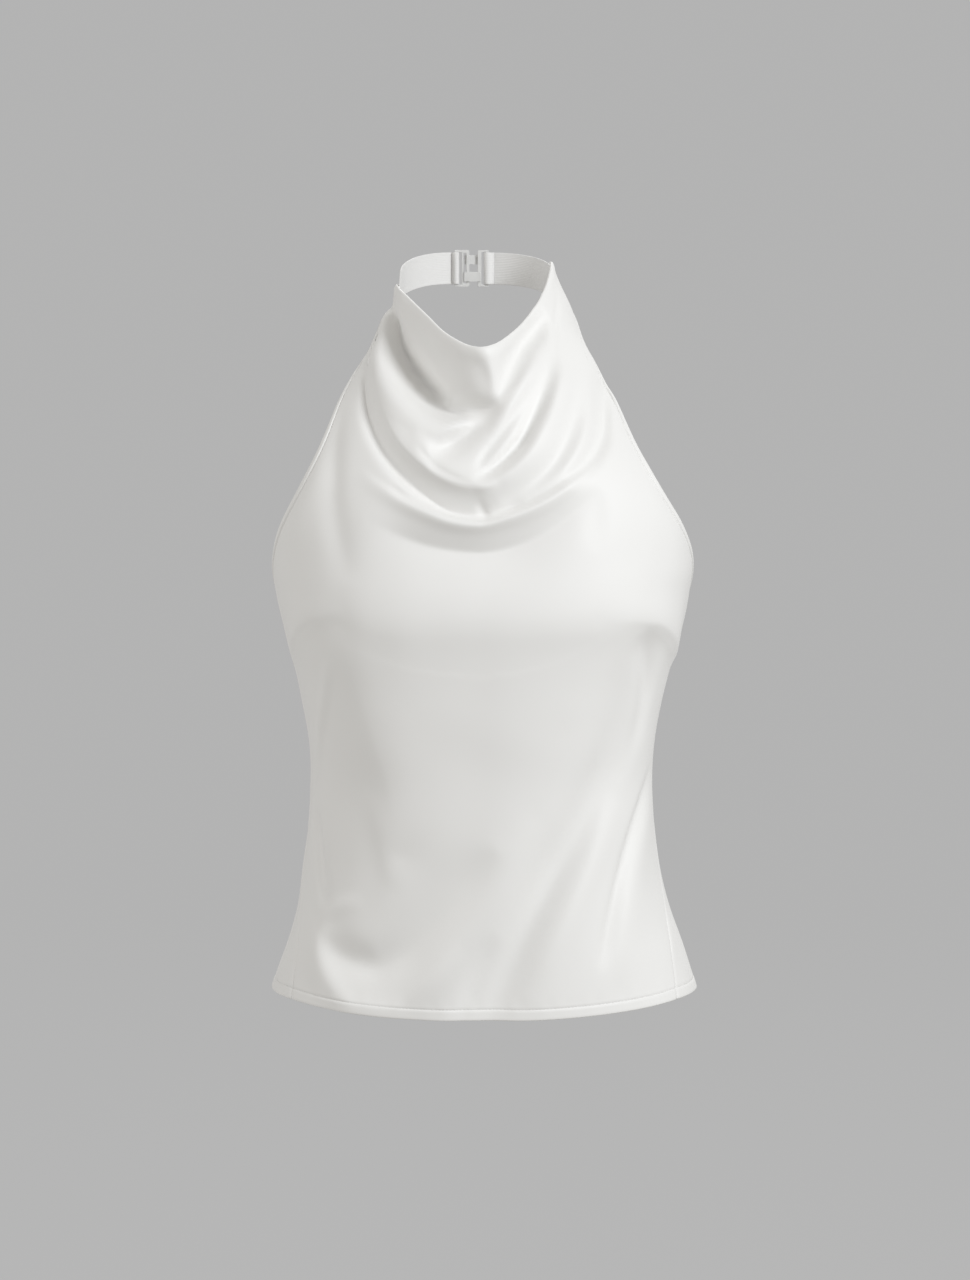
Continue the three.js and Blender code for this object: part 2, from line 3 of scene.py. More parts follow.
import bpy
import numpy as np
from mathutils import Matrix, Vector


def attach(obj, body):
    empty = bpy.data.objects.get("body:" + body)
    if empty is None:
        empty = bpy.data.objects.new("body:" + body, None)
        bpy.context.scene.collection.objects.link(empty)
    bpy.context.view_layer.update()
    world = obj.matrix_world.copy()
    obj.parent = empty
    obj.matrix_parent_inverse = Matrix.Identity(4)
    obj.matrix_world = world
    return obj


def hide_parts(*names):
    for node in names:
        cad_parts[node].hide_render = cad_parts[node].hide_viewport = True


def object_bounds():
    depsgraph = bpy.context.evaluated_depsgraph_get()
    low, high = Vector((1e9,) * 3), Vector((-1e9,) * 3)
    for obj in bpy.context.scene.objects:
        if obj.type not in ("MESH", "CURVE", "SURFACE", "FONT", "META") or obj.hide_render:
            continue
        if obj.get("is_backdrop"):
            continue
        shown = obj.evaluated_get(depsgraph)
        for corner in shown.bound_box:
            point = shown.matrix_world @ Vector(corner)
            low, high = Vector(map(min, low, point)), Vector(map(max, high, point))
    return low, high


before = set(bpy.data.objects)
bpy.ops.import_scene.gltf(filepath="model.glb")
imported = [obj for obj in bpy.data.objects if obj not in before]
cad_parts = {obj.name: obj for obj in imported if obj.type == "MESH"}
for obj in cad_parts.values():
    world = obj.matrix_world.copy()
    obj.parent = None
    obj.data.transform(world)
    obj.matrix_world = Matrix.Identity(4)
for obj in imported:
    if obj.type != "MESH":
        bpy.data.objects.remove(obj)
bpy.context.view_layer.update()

print("frame loaded:", len(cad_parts), "nodes")

# An ivory satin halter top with a draped cowl, as it hangs when it is worn. Sizes in the tables
# are millimetres; a height "up" is measured from the hem's side corners, and meshes are written in
# metres with the origin in the middle of the neck loop. A turn is in degrees round the garment
# from above: 0 at the centre front, 90 at the side, 180 at the centre back.
mm = 0.001

# The worn form in rings: half its width, its depth before and behind its middle, how far back the
# middle lies, how square the ring is, and its share of the neck's shift to one side.
wornForm = {
    "napeUp": 535,
    "neckShiftX": -4.5,
    "columns": ("up", "wide", "fore", "aft", "behind", "square", "shift"),
    "rings": [
        (550, 53, 52, 60, 14, 2.0, 0.9),
        (534, 56.5, 58, 60, 14, 2.0, 0.75),
        (519, 61.5, 66, 62, 13, 2.0, 0.6),
        (505, 69, 73, 65, 12, 2.0, 0.8),
        (490, 73, 80, 70, 10, 2.0, 0.6),
        (471, 83.5, 90, 78, 8, 2.1, 0.65),
        (450, 98.5, 101, 86, 5, 2.2, 0.5),
        (430, 112.5, 110, 92, 3, 2.2, 0.5),
        (400, 129, 121, 97, 0, 2.3, 0.4),
        (371, 145, 129, 100, 0, 2.4, 0.3),
        (340, 154, 134, 101, 0, 2.4, 0),
        (312, 155, 137, 101, 0, 2.4, -0.1),
        (298, 153, 138.4, 100.5, 0, 2.4, 0),
        (285, 150.8, 138.6, 100, 0, 2.4, 0),
        (272, 147.2, 137, 99, 0, 2.4, 0),
        (260, 144, 134.4, 98, 0, 2.4, 0.1),
        (222, 135, 127.2, 93, 0, 2.3, 0.1),
        (192, 129.2, 121.4, 90, 0, 2.3, 0.1),
        (155, 126.8, 116.6, 88, 0, 2.2, 0.15),
        (118, 129, 114, 90, 0, 2.2, 0.15),
        (89, 133, 113, 93, 0, 2.2, 0.1),
        (59, 139, 113, 98, 0, 2.2, -0.2),
        (30, 148.2, 113, 103, 0, 2.2, -0.35),
        (0, 158, 113, 108, 0, 2.2, -0.3),
        (-20, 164, 113, 112, 0, 2.2, -0.3),
    ],
    "soften": 5,
}


def smoothCurve(at, values, soften=0.0, step=0.5):
    # A curve through the rows with no overshoot between them, then softened over a few steps.
    order = np.argsort(at)
    x, y = np.array(at, float)[order], np.array(values, float)[order]
    h = np.diff(x)
    slope = np.diff(y) / h
    a, b = slope[:-1], slope[1:]
    mean = (a * h[1:] + b * h[:-1]) / (h[1:] + h[:-1])
    most = 3 * np.minimum(np.abs(a), np.abs(b)) * (a * b > 0)
    tangent = np.concatenate([slope[:1], np.clip(mean, -most, most), slope[-1:]])
    fine = np.arange(x[0], x[-1] + step / 2, step)
    i = np.clip(np.searchsorted(x, fine, side="right") - 1, 0, len(h) - 1)
    t = (fine - x[i]) / h[i]
    value = (
        y[i] * (2 * t**3 - 3 * t**2 + 1)
        + tangent[i] * h[i] * (t**3 - 2 * t**2 + t)
        + y[i + 1] * (3 * t**2 - 2 * t**3)
        + tangent[i + 1] * h[i] * (t**3 - t**2)
    )
    if soften:
        reach = int(4 * soften / step)
        kernel = np.exp(-0.5 * (np.arange(-reach, reach + 1) * step / soften) ** 2)
        kernel /= kernel.sum()
        steps = np.arange(1, reach + 1)
        before = value[0] - (value[1] - value[0]) * steps[::-1]
        after = value[-1] + (value[-1] - value[-2]) * steps
        value = np.convolve(np.concatenate([before, value, after]), kernel, "valid")
    return lambda place: np.interp(place, fine, value)


def namedColumns(columns, rows):
    # A table's columns by their names.
    return dict(zip(columns, zip(*rows)))


ringColumns = namedColumns(wornForm["columns"], wornForm["rings"])
ring = {
    name: smoothCurve(ringColumns["up"], ringColumns[name], wornForm["soften"])
    for name in wornForm["columns"][1:]
}


def formPoint(turn, up):
    turn, up = np.broadcast_arrays(np.radians(turn), np.asarray(up, float))
    sine, cosine = np.sin(turn), np.cos(turn)
    depth = np.where(cosine > 0, ring["fore"](up), ring["aft"](up))
    square = ring["square"](up)
    reach = (
        (np.abs(sine) / ring["wide"](up)) ** square + (np.abs(cosine) / depth) ** square
    ) ** (-1 / square)
    x = wornForm["neckShiftX"] * ring["shift"](up) + reach * sine
    y = ring["behind"](up) - reach * cosine
    return np.stack([x, y, up - wornForm["napeUp"]], axis=-1)


def formPointAcross(across, up, onBack):
    # The point of the form that is that far across, on its front or on its back.
    low, high = (90.0, 270.0) if onBack else (-90.0, 90.0)
    low, high = np.full(len(across), low), np.full(len(across), high)
    for _ in range(30):
        middle = (low + high) / 2
        tooFar = (formPoint(middle, up)[:, 0] > across) != onBack
        high, low = np.where(tooFar, middle, high), np.where(tooFar, low, middle)
    return formPoint((low + high) / 2, up)


def unit(vectors):
    return vectors / np.maximum(np.linalg.norm(vectors, axis=-1, keepdims=True), 1e-12)


def runAlong(points):
    # How far along the line each of its points is.
    return np.concatenate([[0], np.cumsum(np.linalg.norm(np.diff(points, axis=0), axis=1))])


def gridNormals(grid):
    # Rows run down and columns run towards +X on the front, so that normals point outwards.
    return unit(np.cross(np.gradient(grid, axis=0), np.gradient(grid, axis=1)))


# Where each crosswise thread of the front lies at the side edge and at the centre, how sharply it
# bends between them, and how level it comes to the edge. The first is the neck edge, which has a
# table of its own from its left end, -1, to its right end, 1; the threads below it follow it less
# and less. The side edge's table gives its turn at each height.
frontPanel = {
    "underarmUp": 285,
    "armholeTopUp": 501,
    "threadColumns": ("side", "mid", "bend", "level"),
    "threads": [
        (528, 471, 0.42, 0),
        (518, 441, 0.8, 0.1),
        (507, 408, 1.3, 0.6),
        (488, 376, 1.8, 0.9),
        (462, 354, 2.0, 0.9),
        (430, 340, 2.0, 0.9),
        (395, 326, 2.0, 0.9),
        (360, 312, 2.0, 0.7),
        (325, 297, 2.0, 0.5),
        (285, 272, 2.0, 0.3),
        (222, 214, 2.0, 0),
        (155, 148, 2.0, 0),
        (75, 68, 2.0, 0),
        (0, -7, 2.0, 0),
    ],
    "neckEdge": [
        (-1, 521), (-0.85, 520), (-0.7, 517), (-0.478, 509.5), (-0.3, 496.5), (-0.163, 481.5),
        (-0.07, 473.5), (0, 470), (0.06, 472), (0.12, 477), (0.2, 485), (0.28, 493.5),
        (0.36, 502.5), (0.45, 512.5), (0.52, 518.5), (0.6, 524.5), (0.7, 531), (0.8, 535.5),
        (1, 538),
    ],
    "neckHold": 1.1,
    "sideEdge": [
        (531, 100), (507, 98), (490, 86), (475, 76), (460, 69), (430, 62), (400, 60), (371, 62),
        (348, 68), (330, 75), (312, 84), (296, 93), (285, 99), (262, 98), (222, 93), (192, 91),
        (155, 90), (118, 86), (89, 82), (59, 76), (30, 71), (0, 68),
    ],
    "threadSoftness": 0.1,
    "rowStep": 1.9,  # in the cowl, which ends this far below the neck edge
    "cowlDeep": 255,
    "bodyRowStep": 3.2,
    "columnCount": 192,
    "seamGap": 0.16,
    "flat": (0.52, 0.68),
    "flatArea": 0.189,
}
backPanel = {
    "topMid": 262,
    "topDeep": 5,
    "flat": (0.40, 0.36),
    "flatArea": 0.108,
}

# Distances from an edge at which the mesh has a row or a column, so that a stitched band has its
# line of stitches and its swell.
hemSteps = (0, 1.3, 3.0, 4.8, 6.2, 6.8, 7.2, 7.6, 8.2, 9.4, 11.2)
sideSteps = (0, 0.9, 2.0, 3.3, 4.3, 4.7, 5.0, 5.3, 5.7, 6.7, 8.3)
neckSteps = (0, 0.8, 1.8, 3.0, 4.5, 6.2)

sideEdgeTurn = smoothCurve(*zip(*frontPanel["sideEdge"]), 3)
neckEdgeUp = smoothCurve(*zip(*frontPanel["neckEdge"]), 0.03, 0.005)
threadAt = {
    name: smoothCurve(range(len(values)), values, 0.0, 0.02)
    for name, values in namedColumns(frontPanel["threadColumns"], frontPanel["threads"]).items()
}


def rowPlaces():
    # The rows' thread numbers and depths: close together at the neck edge and at the hem.
    fine = np.linspace(0, len(frontPanel["threads"]) - 1, 4000)
    height = (threadAt["side"](fine) + threadAt["mid"](fine)) / 2
    total = height[0] - height[-1]
    cowlEnd = frontPanel["cowlDeep"]
    spans = (
        (neckSteps[-1], cowlEnd, frontPanel["rowStep"]),
        (cowlEnd, total - hemSteps[-1], frontPanel["bodyRowStep"]),
    )
    plain = np.concatenate([
        np.linspace(first, last, int(round((last - first) / step)) + 1)[1:]
        for first, last, step in spans
    ])[:-1]
    deep = np.concatenate([neckSteps, plain, total - np.array(hemSteps[::-1])])
    return np.interp(deep, height[0] - height, fine), deep


def columnShares(halfArc):
    # Places from the left edge, -1, to the right edge, 1, close together near both edges.
    edge = 1 - np.array(sideSteps) / halfArc
    inner = np.linspace(-edge[-1], edge[-1], frontPanel["columnCount"] + 1)[1:-1]
    return np.concatenate([-edge, inner, edge[::-1]])


def edgeSpan(sideUp, onBack=False):
    # How far a row turns from its middle to its side edge, which stops short of the seam.
    seam = sideEdgeTurn(sideUp)
    gap = math.degrees(frontPanel["seamGap"] / 2 / ring["wide"](sideUp))
    return (180 - seam if onBack else seam) - gap


def threadUp(order, s):
    # The height of a crosswise thread at the place s along it.
    side, mid, bend, level = (threadAt[name](order) for name in frontPanel["threadColumns"])
    rise = lambda q: (q * q + frontPanel["threadSoftness"] ** 2) ** (bend / 2)
    share = (rise(s) - rise(0)) / (rise(1) - rise(0))
    share += level * ((1 - np.cos(math.pi * s)) / 2 - share)
    return mid + (side - mid) * share


def frontRow(order, s):
    # Points of one thread of the front; near the neck edge it keeps the edge's own line.
    hold = math.exp(-((order / frontPanel["neckHold"]) ** 2))
    up = threadUp(order, s) + (neckEdgeUp(s) - threadUp(0, s)) * hold
    return formPoint(s * edgeSpan(threadAt["side"](order)), up)


def backRow(sideUp, s):
    midUp = backPanel["topMid"] * sideUp / frontPanel["underarmUp"]
    return formPoint(180 + s * edgeSpan(sideUp, True), midUp + (sideUp - midUp) * s * s)


def sheetGrid(rowPoints, rows):
    # A sheet's points in rows, with their distances from its side edges and from its middle.
    grid, shares, arcs = [], [], []
    for row in rows:
        arcs.append(runAlong(rowPoints(row, np.linspace(-1, 1, 121)))[-1] / 2)
        shares.append(columnShares(arcs[-1]))
        grid.append(rowPoints(row, shares[-1]))
    shares, arcs = np.array(shares), np.array(arcs)[:, None]
    return {"grid": np.array(grid), "fromSide": (1 - np.abs(shares)) * arcs, "flatX": shares * arcs}


# Folds, each along points (across, up, high): high is how far it stands out, or goes in where it is
# negative. "over" and "under" are how wide it is to the left and to the right of its line, going
# along the line; a point with five values has its own. "sharp" and "sharpUnder" are 2 for a round
# side and less for one that breaks at the line, and "droop" is how far it hangs down for each
# millimetre outwards.
foldColumns = ("over", "under", "sharp", "sharpUnder", "droop", "points")

cowlFolds = {
    "neck edge standing out": (14, 24, 2, 1.5, 0, [
        (-60, 516, 0), (-47, 505, 8), (-31, 490, 19), (-14, 477, 26), (0, 471.5, 26),
        (13, 476, 19), (28, 489, 10), (40, 504, 3), (50, 523, 0),
    ]),
    "deep tuck under the left of the neck edge": (28, 4.5, 1.25, 1.4, 0, [
        (-74, 521, 0, 11, 5), (-72.5, 507, -7, 14, 5), (-70, 490, -17, 20, 5),
        (-66, 471, -27, 26, 5), (-57.5, 455, -34, 29, 5), (-45.5, 440, -35, 30, 5),
        (-31, 429, -31), (-14, 426, -25), (-3, 427.5, -17, 26, 4.5), (5, 431, -7, 18, 5),
        (11, 435, 0, 12, 6),
    ]),
    "floor of the tuck": (7, 4.5, 2, 2, 0, [
        (-73, 516, 0), (-70.5, 505, -6), (-66.5, 490, -13), (-60, 474, -19), (-51, 460.5, -21),
        (-40.5, 448, -20), (-32, 439.5, -16), (-24, 434, 0),
    ]),
    "crest right of the tuck": (12, 5, 2, 1.4, 0, [
        (-66, 518, 0), (-64.5, 506, 4), (-61.5, 488, 7), (-54, 469, 8), (-43, 453, 8),
        (-33, 439, 6), (-24, 431, 4), (-12, 427, 3), (-2, 430, 0),
    ]),
    "fold left of the tuck": (8, 10, 2, 2, 0, [
        (-80, 488, 0), (-77, 468, 2.5), (-70, 450, 4.5), (-59, 433, 5), (-45, 420, 4),
        (-32, 412, 2), (-22, 408, 0),
    ]),
    "edge of the tuck's hollow": (14, 5, 2, 1.8, 0, [
        (-8, 476, 0), (-1, 468, 1.8), (6, 458, 4), (9, 448, 5), (8, 438, 4), (4, 431, 1.6),
        (-1, 426, 0),
    ]),
    "roll of the second swag, left arm": (13, 6, 2, 1.3, 0, [
        (-79, 468, 0), (-77.5, 456, 4), (-75.5, 443, 5.4), (-69, 424, 6.6), (-59.5, 407, 7),
        (-45, 392, 7.2), (-29.5, 382, 7.2), (-14, 376.5, 6.6), (-2, 374.5, 5.4), (6, 375, 2),
        (12, 377, 0),
    ]),
    "roll of the second swag, right arm": (4, 11, 1.6, 1.6, 0, [
        (-6, 374, 0), (2, 375, 3.5), (10, 379, 6), (21.5, 387.5, 6.8), (33.5, 400, 7),
        (42.5, 415, 6.6), (50, 432, 5.6), (55, 449, 4), (59, 467, 0),
    ]),
    "crease inside the right arm": (3, 2.4, 1.6, 1.6, 0, [
        (-6, 378, 0), (1, 382.5, -3.4), (9.5, 388.5, -6, 3, 2.6), (20, 398, -8.4, 3.6, 2.8),
        (28, 407, -9.4, 4.6, 3), (34, 418, -8.6, 6, 3.6), (39.5, 431, -7, 7, 5),
        (44, 445, -5.4, 8, 7), (47.5, 460, -3.8, 8, 9), (50, 476, 0, 8, 9),
    ]),
    "trough left of the second swag": (17, 4, 1.25, 1.6, 0, [
        (-85, 462, 0), (-84.5, 446, -4), (-83, 429, -7), (-78, 413, -8.4), (-70, 398.5, -8.8),
        (-58, 384, -8.8), (-45, 371.5, -8.6), (-33, 362.5, -8.4, 17, 3.6),
        (-23, 356.5, -8.2, 17, 3.2), (-12, 353.5, -7.8, 17, 3), (0, 352.5, -6.8, 16, 3),
        (10, 355, -5, 14, 3), (20, 360, -2.6, 10, 3), (30, 365, 0, 8, 3),
    ]),
    "dimple between the second and third swags": (3, 4, 2, 2, 0, [
        (-4, 367, 0), (-1, 362, -1.4), (1, 358, -2.6), (2.5, 354, -2), (4, 350, 0),
    ]),
    "lip of the third swag": (2.6, 7, 2, 2, 0, [
        (-88, 385, 0), (-76, 377, 1.4), (-62, 368, 2.6), (-46, 360, 3.4), (-25, 352.5, 4.4),
        (-3, 350, 5), (20, 354, 4.6), (39, 361, 4), (58, 372, 3.4), (74, 384, 2.4),
        (85, 397, 1.2), (91, 411, 0),
    ]),
    "crease above the third swag, left": (3, 2.5, 1.5, 1.5, 0, [
        (-66, 376, 0), (-58, 370, -1.8), (-46, 365, -2.2), (-34, 361, -1.2), (-24, 358, 0),
    ]),
    "crease above the third swag, right": (7, 3, 1.6, 1.6, 0, [
        (4, 356, 0), (14, 358.5, -1.6), (28, 363, -3), (44, 371, -3.4), (60, 381.5, -2.8),
        (74, 394, -1.4), (82, 405, 0),
    ]),
    "hollow under the third swag": (13, 28, 1.35, 1.3, 0, [
        (-84, 352, 0), (-74, 347, -1.4), (-62, 341, -4.6), (-47, 335, -8), (-26, 330, -9.8),
        (-2, 328, -10.4), (22, 332, -9.8), (42, 341, -8), (60, 353, -6), (73, 363, -3.6),
        (84, 374, 0),
    ]),
    "long trough up the right of the cowl": (8, 8, 2, 2, 0, [
        (47, 499, 0, 7, 9), (39, 488, -12, 9, 9), (29, 475, -18, 9.5, 9), (20, 459, -12, 9.5, 8),
        (11.5, 437, -6.4, 9, 8), (2, 421, -7.4), (-10, 411.5, -10), (-20, 404.5, -9.6),
        (-30, 398.5, -5.4), (-38, 392, 0, 9, 8),
    ]),
    "narrow lip under the tuck": (3, 3, 2, 2, 0, [
        (-31, 412, 0), (-24, 415.5, 2), (-15, 419.5, 3), (-7, 423.5, 2.4), (1, 427, 0),
    ]),
    "bright roll right of the middle": (5, 4, 2, 2, 0, [
        (42, 466, 0), (34, 457, 2.4), (28, 447, 3.4), (20, 435, 3.4), (12, 423, 2.8), (4, 413, 0),
    ]),
    "middle crease": (2.6, 3, 1.5, 1.5, 0, [
        (40, 452, 0), (35, 443, -2.2), (28, 431, -3.2), (20, 419, -3.6), (11, 407, -4),
        (3, 397, -3.6), (-2, 389, -2), (-5, 383, 0),
    ]),
    "swell left of the middle": (5, 6, 2, 2, 0, [
        (-49, 422, 0), (-46.5, 413, 1.2), (-43, 405, 1.6), (-38, 398, 1), (-32, 392, 0),
    ]),
    "groove inside the second swag": (2.4, 2.4, 1.5, 1.5, 0, [
        (-46, 405, 0), (-40, 396, -2.4), (-32, 388, -2.8), (-20.5, 381.5, -2.4), (-11, 378, -1.4),
        (-3, 376, 0),
    ]),
    "trough right of the right arm": (7, 8, 2, 2, 0, [
        (12, 363, 0), (25, 369, -2.8), (37, 377, -4), (48, 387, -4.4), (57, 401.5, -4.4),
        (64, 420, -3.8), (68, 440, -2.2), (71, 458, 0),
    ]),
    "roll right of the right arm": (7, 10, 2, 2, 0, [
        (22, 360, 0), (35, 368.5, 2), (47, 376.5, 3), (59, 386.5, 3.4), (70, 401, 3.4),
        (77, 419, 2.6), (81, 438, 0),
    ]),
    "soft trough inside the right shoulder": (7, 12, 2, 2, 0, [
        (93, 462, 0), (90, 446, -4), (88, 428, -6.8), (86, 411, -7.4), (80, 396, -6.2),
        (71, 383, -3.6), (60, 374, 0),
    ]),
    "pleat at the right strap": (1.6, 2.2, 1.5, 1.5, 0, [
        (56, 514, 0), (55, 505, -2), (53.5, 491, -2.8), (52, 477, -2), (51, 464, 0),
    ]),
    "left shoulder carried forward": (24, 24, 2, 2, 0, [
        (-84, 472, 0), (-96, 450, 4), (-106, 425, 6), (-114, 400, 6), (-124, 375, 4.5),
        (-136, 350, 2.5), (-146, 325, 0),
    ]),
    "drag line from the left armhole": (9, 12, 1.8, 1.8, 0, [
        (-97, 438, 0), (-101, 424, -1.6), (-105, 400, -3), (-105, 370, -3.6), (-102, 342, -3),
        (-98, 322, -1.4), (-94, 306, 0),
    ]),
    "trough from the right armhole": (9, 8, 2, 2, 0, [
        (90, 384, 0), (85, 370, -0.8), (82, 356, -1), (80, 342, -0.8), (77, 328, 0),
    ]),
}

bodyFolds = {
    "bust line": (15, 26, 1.8, 2, 0, [
        (128, 280, 0), (112, 276, 1.4), (96, 275, 1.6), (60, 274, 1.2), (20, 273, 0.8),
        (-30, 273, 0.8), (-70, 275, 1.2), (-95, 280, 0.8), (-110, 286, 0),
    ]),
    "right dart": (7, 22, 1.2, 2, 0, [
        (142, 238, 0), (140, 248, 3.4), (137, 257, 5.4), (132, 267, 6.2), (125, 274, 5.4),
        (114, 278, 2.8), (100, 279, 1.2), (84, 279, 0),
    ]),
    "seam of the right dart": (1.4, 1.4, 2, 2, 0, [
        (140, 245, 0), (138, 252, -1.2), (134, 262.5, -1.5), (127.5, 271, -1.2), (118, 277, 0),
    ]),
    "left dart": (16, 7, 2, 1.2, 0, [
        (-140, 242, 0), (-138, 253, 1.8), (-134, 264, 2.6), (-126, 275, 2.6), (-113, 282, 1.4),
        (-98, 286, 0),
    ]),
    "seam of the left dart": (1.4, 1.4, 2, 2, 0, [
        (-138, 247, 0), (-136, 255, -1.2), (-132, 265, -1.4), (-125, 274.5, -1), (-116, 280, 0),
    ]),
    "fall from the left of the bust": (40, 25, 2, 1.7, 0, [
        (-102, 276, 0), (-96, 256, 2.8), (-86, 228, 4.8), (-74, 191, 5.8), (-64, 159, 5),
        (-59, 131, 3), (-57, 110, 0),
    ]),
    "narrow ridge at the left side": (5, 5, 2, 2, 0, [
        (-108, 252, 0), (-111, 236, 1.6), (-116, 205, 2.2), (-119, 178, 1.6), (-121, 156, 0),
    ]),
    "hollow at the left of the waist": (7, 6, 2, 2, 0, [
        (-121, 140, 0), (-121, 124, -3.4), (-119, 100, -4.4), (-116, 82, -2.6), (-114, 68, 0),
    ]),
    "slanting trough above the left of the hem": (15, 11, 1.9, 1.9, 0, [
        (-113, 50, 0), (-107, 40, -3.6), (-97, 32, -7), (-80, 29, -8.8, 16, 12),
        (-62, 37, -8.8, 19, 14), (-43, 55, -7.6, 22, 16), (-25, 76, -6, 22, 16),
        (-7, 97, -3.6, 20, 15), (10, 116, 0, 18, 14),
    ]),
    "ridge under the slanting trough": (8, 14, 2, 2, 0, [
        (-120, 60, 0), (-119, 39, 2.6), (-111, 18, 3.4), (-95, 2, 3.4), (-68, -1, 2.6),
        (-40, 18, 2), (-14, 46, 0),
    ]),
    "lip at the left end of the slanting trough": (5, 6, 2, 2, 0, [
        (-118, 50, 0), (-115, 60, 1.2), (-108, 68, 1.6), (-98, 73, 1.2), (-85, 76, 0),
    ]),
    "second fall left of the middle": (12, 9, 2, 2, 0, [
        (-82, 160, 0), (-76, 142, 0.9), (-70, 120, 1.3), (-66, 100, 1.1), (-64, 84, 0),
    ]),
    "slanting crease at the right of the waist": (8, 3.6, 1.5, 1.5, 0, [
        (124, 168, 0), (120, 156, -1.8), (115, 141, -3.2), (107.5, 120, -4.2), (99.5, 94, -4.8),
        (93.5, 70, -4.4), (88.5, 48, -3), (85, 26, 0),
    ]),
    "roll right of the slanting crease": (16, 9, 2, 2, 0, [
        (126, 150, 0), (120, 130, 1.4), (112, 98, 2.4), (106, 66, 2.4), (102, 36, 1.4),
        (100, 12, 0),
    ]),
    "broad slanting trough right of the middle": (16, 18, 2, 2, 0, [
        (108, 262, 0), (102, 238, -2), (97, 212, -4), (91, 184, -6), (81, 156, -8),
        (68, 126, -9.6), (53, 99, -10.6), (33, 60, -9.6), (17, 26, -8), (8, 4, -6.4),
        (2, -14, -5),
    ]),
    "short hollow above the hem": (9, 9, 2, 2, 0, [
        (11, 54, 0), (1, 35, -2.6), (-8, 16, -3.2), (-14, 0, -2.2), (-18, -14, -1.4),
    ]),
    "swell between the two slanting folds": (16, 16, 2, 2, 0, [
        (-52, 4, 0), (-34, 26, 2.2), (-8, 58, 2.8), (16, 96, 2.4), (38, 140, 0),
    ]),
    "second swell right of the trough": (12, 12, 2, 2, 0, [
        (98, 150, 0), (80, 108, 2.2), (62, 72, 2.8), (48, 40, 2.4), (38, 12, 1),
    ]),
    "shade under the right of the bust": (9, 11, 2, 2, 0, [
        (112, 270, 0), (117, 256, -3.8), (119, 240, -4.6), (116, 212, -3.4), (108, 184, -1.8),
        (98, 160, 0),
    ]),
    "faint swell across the waist": (22, 22, 2, 2, 0, [
        (-50, 216, 0), (-20, 206, 0.9), (20, 196, 1.1), (58, 200, 0),
    ]),
}

backFolds = {
    "fall left of the middle": (17, 17, 2, 2, 0, [
        (64, 218, 0), (62, 190, -2), (58, 120, -6), (64, 60, -7), (69, 14, -7), (71, -12, -7),
    ]),
    "fall right of the middle": (18, 18, 2, 2, 0, [
        (-46, 186, 0), (-50, 160, -2), (-60, 90, -6), (-71, 36, -8), (-77, 2, -8), (-79, -12, -8),
    ]),
    "swell down the middle": (24, 24, 2, 2, 0, [
        (8, 160, 0), (6, 130, 2), (-2, 60, 5), (-5, 10, 6), (-6, -12, 6),
    ]),
    "slack across the small of the back": (9, 7, 2, 2, 0.2, [
        (-70, 176, 0), (-38, 166, 1.6), (-4, 162, 2.2), (34, 167, 1.6), (66, 178, 0),
    ]),
    "second slack below it": (10, 8, 2, 2, 0.2, [
        (-58, 146, 0), (-30, 138, 1.4), (4, 134, 1.8), (40, 140, 0),
    ]),
    "pull from the left underarm": (6, 8, 2, 2, 0, [
        (128, 262, 0), (112, 250, -2), (92, 234, -2.4), (70, 212, 0),
    ]),
    "pull from the right underarm": (8, 6, 2, 2, 0, [
        (-130, 260, 0), (-116, 246, -2), (-98, 226, -2.6), (-82, 200, 0),
    ]),
    "crease at the left of the waist": (4, 5, 1.6, 1.6, 0, [
        (112, 178, 0), (104, 150, -2.4), (99, 116, -2.8), (98, 84, 0),
    ]),
    "crease at the right of the waist": (6, 4, 1.6, 1.6, 0, [
        (-116, 172, 0), (-110, 140, -2.2), (-108, 104, -2.6), (-110, 70, 0),
    ]),
}

# How finely a fold's line is followed, how far beyond its width it is felt, how much the nearest
# points of the line count, and how far to the sides it may push the cloth.
folding = {
    "step": 1.2,
    "soften": 2.5,
    "reach": 2.6,
    "margin": 14,
    "nearest": 4,
    "cowlSideways": 0.15,
    "bodySideways": 0.5,
    "leastOutwards": 0.3,
}


def foldLine(fold, onBack):
    # The fold's line on the form, in short steps: places, heights, widths and directions.
    widths = (fold["over"], fold["under"])
    points = np.array([row if len(row) == 5 else row + widths for row in fold["points"]], float)
    run = runAlong(points[:, :2])
    at = np.linspace(0, run[-1], max(int(run[-1] / folding["step"]), 8))
    across, up, high, over, under = (
        smoothCurve(run, column, folding["soften"])(at) for column in points.T
    )
    places = formPointAcross(across, up, onBack)
    above = formPointAcross(across, up + 1.0, onBack)
    beside = formPointAcross(across + 1.0, up, onBack)
    outward = unit(np.cross(beside - places, above - places)) * (-1 if onBack else 1)
    ahead = unit(np.gradient(places, axis=0))
    return places, high, over, under, ahead, unit(np.cross(outward, ahead))


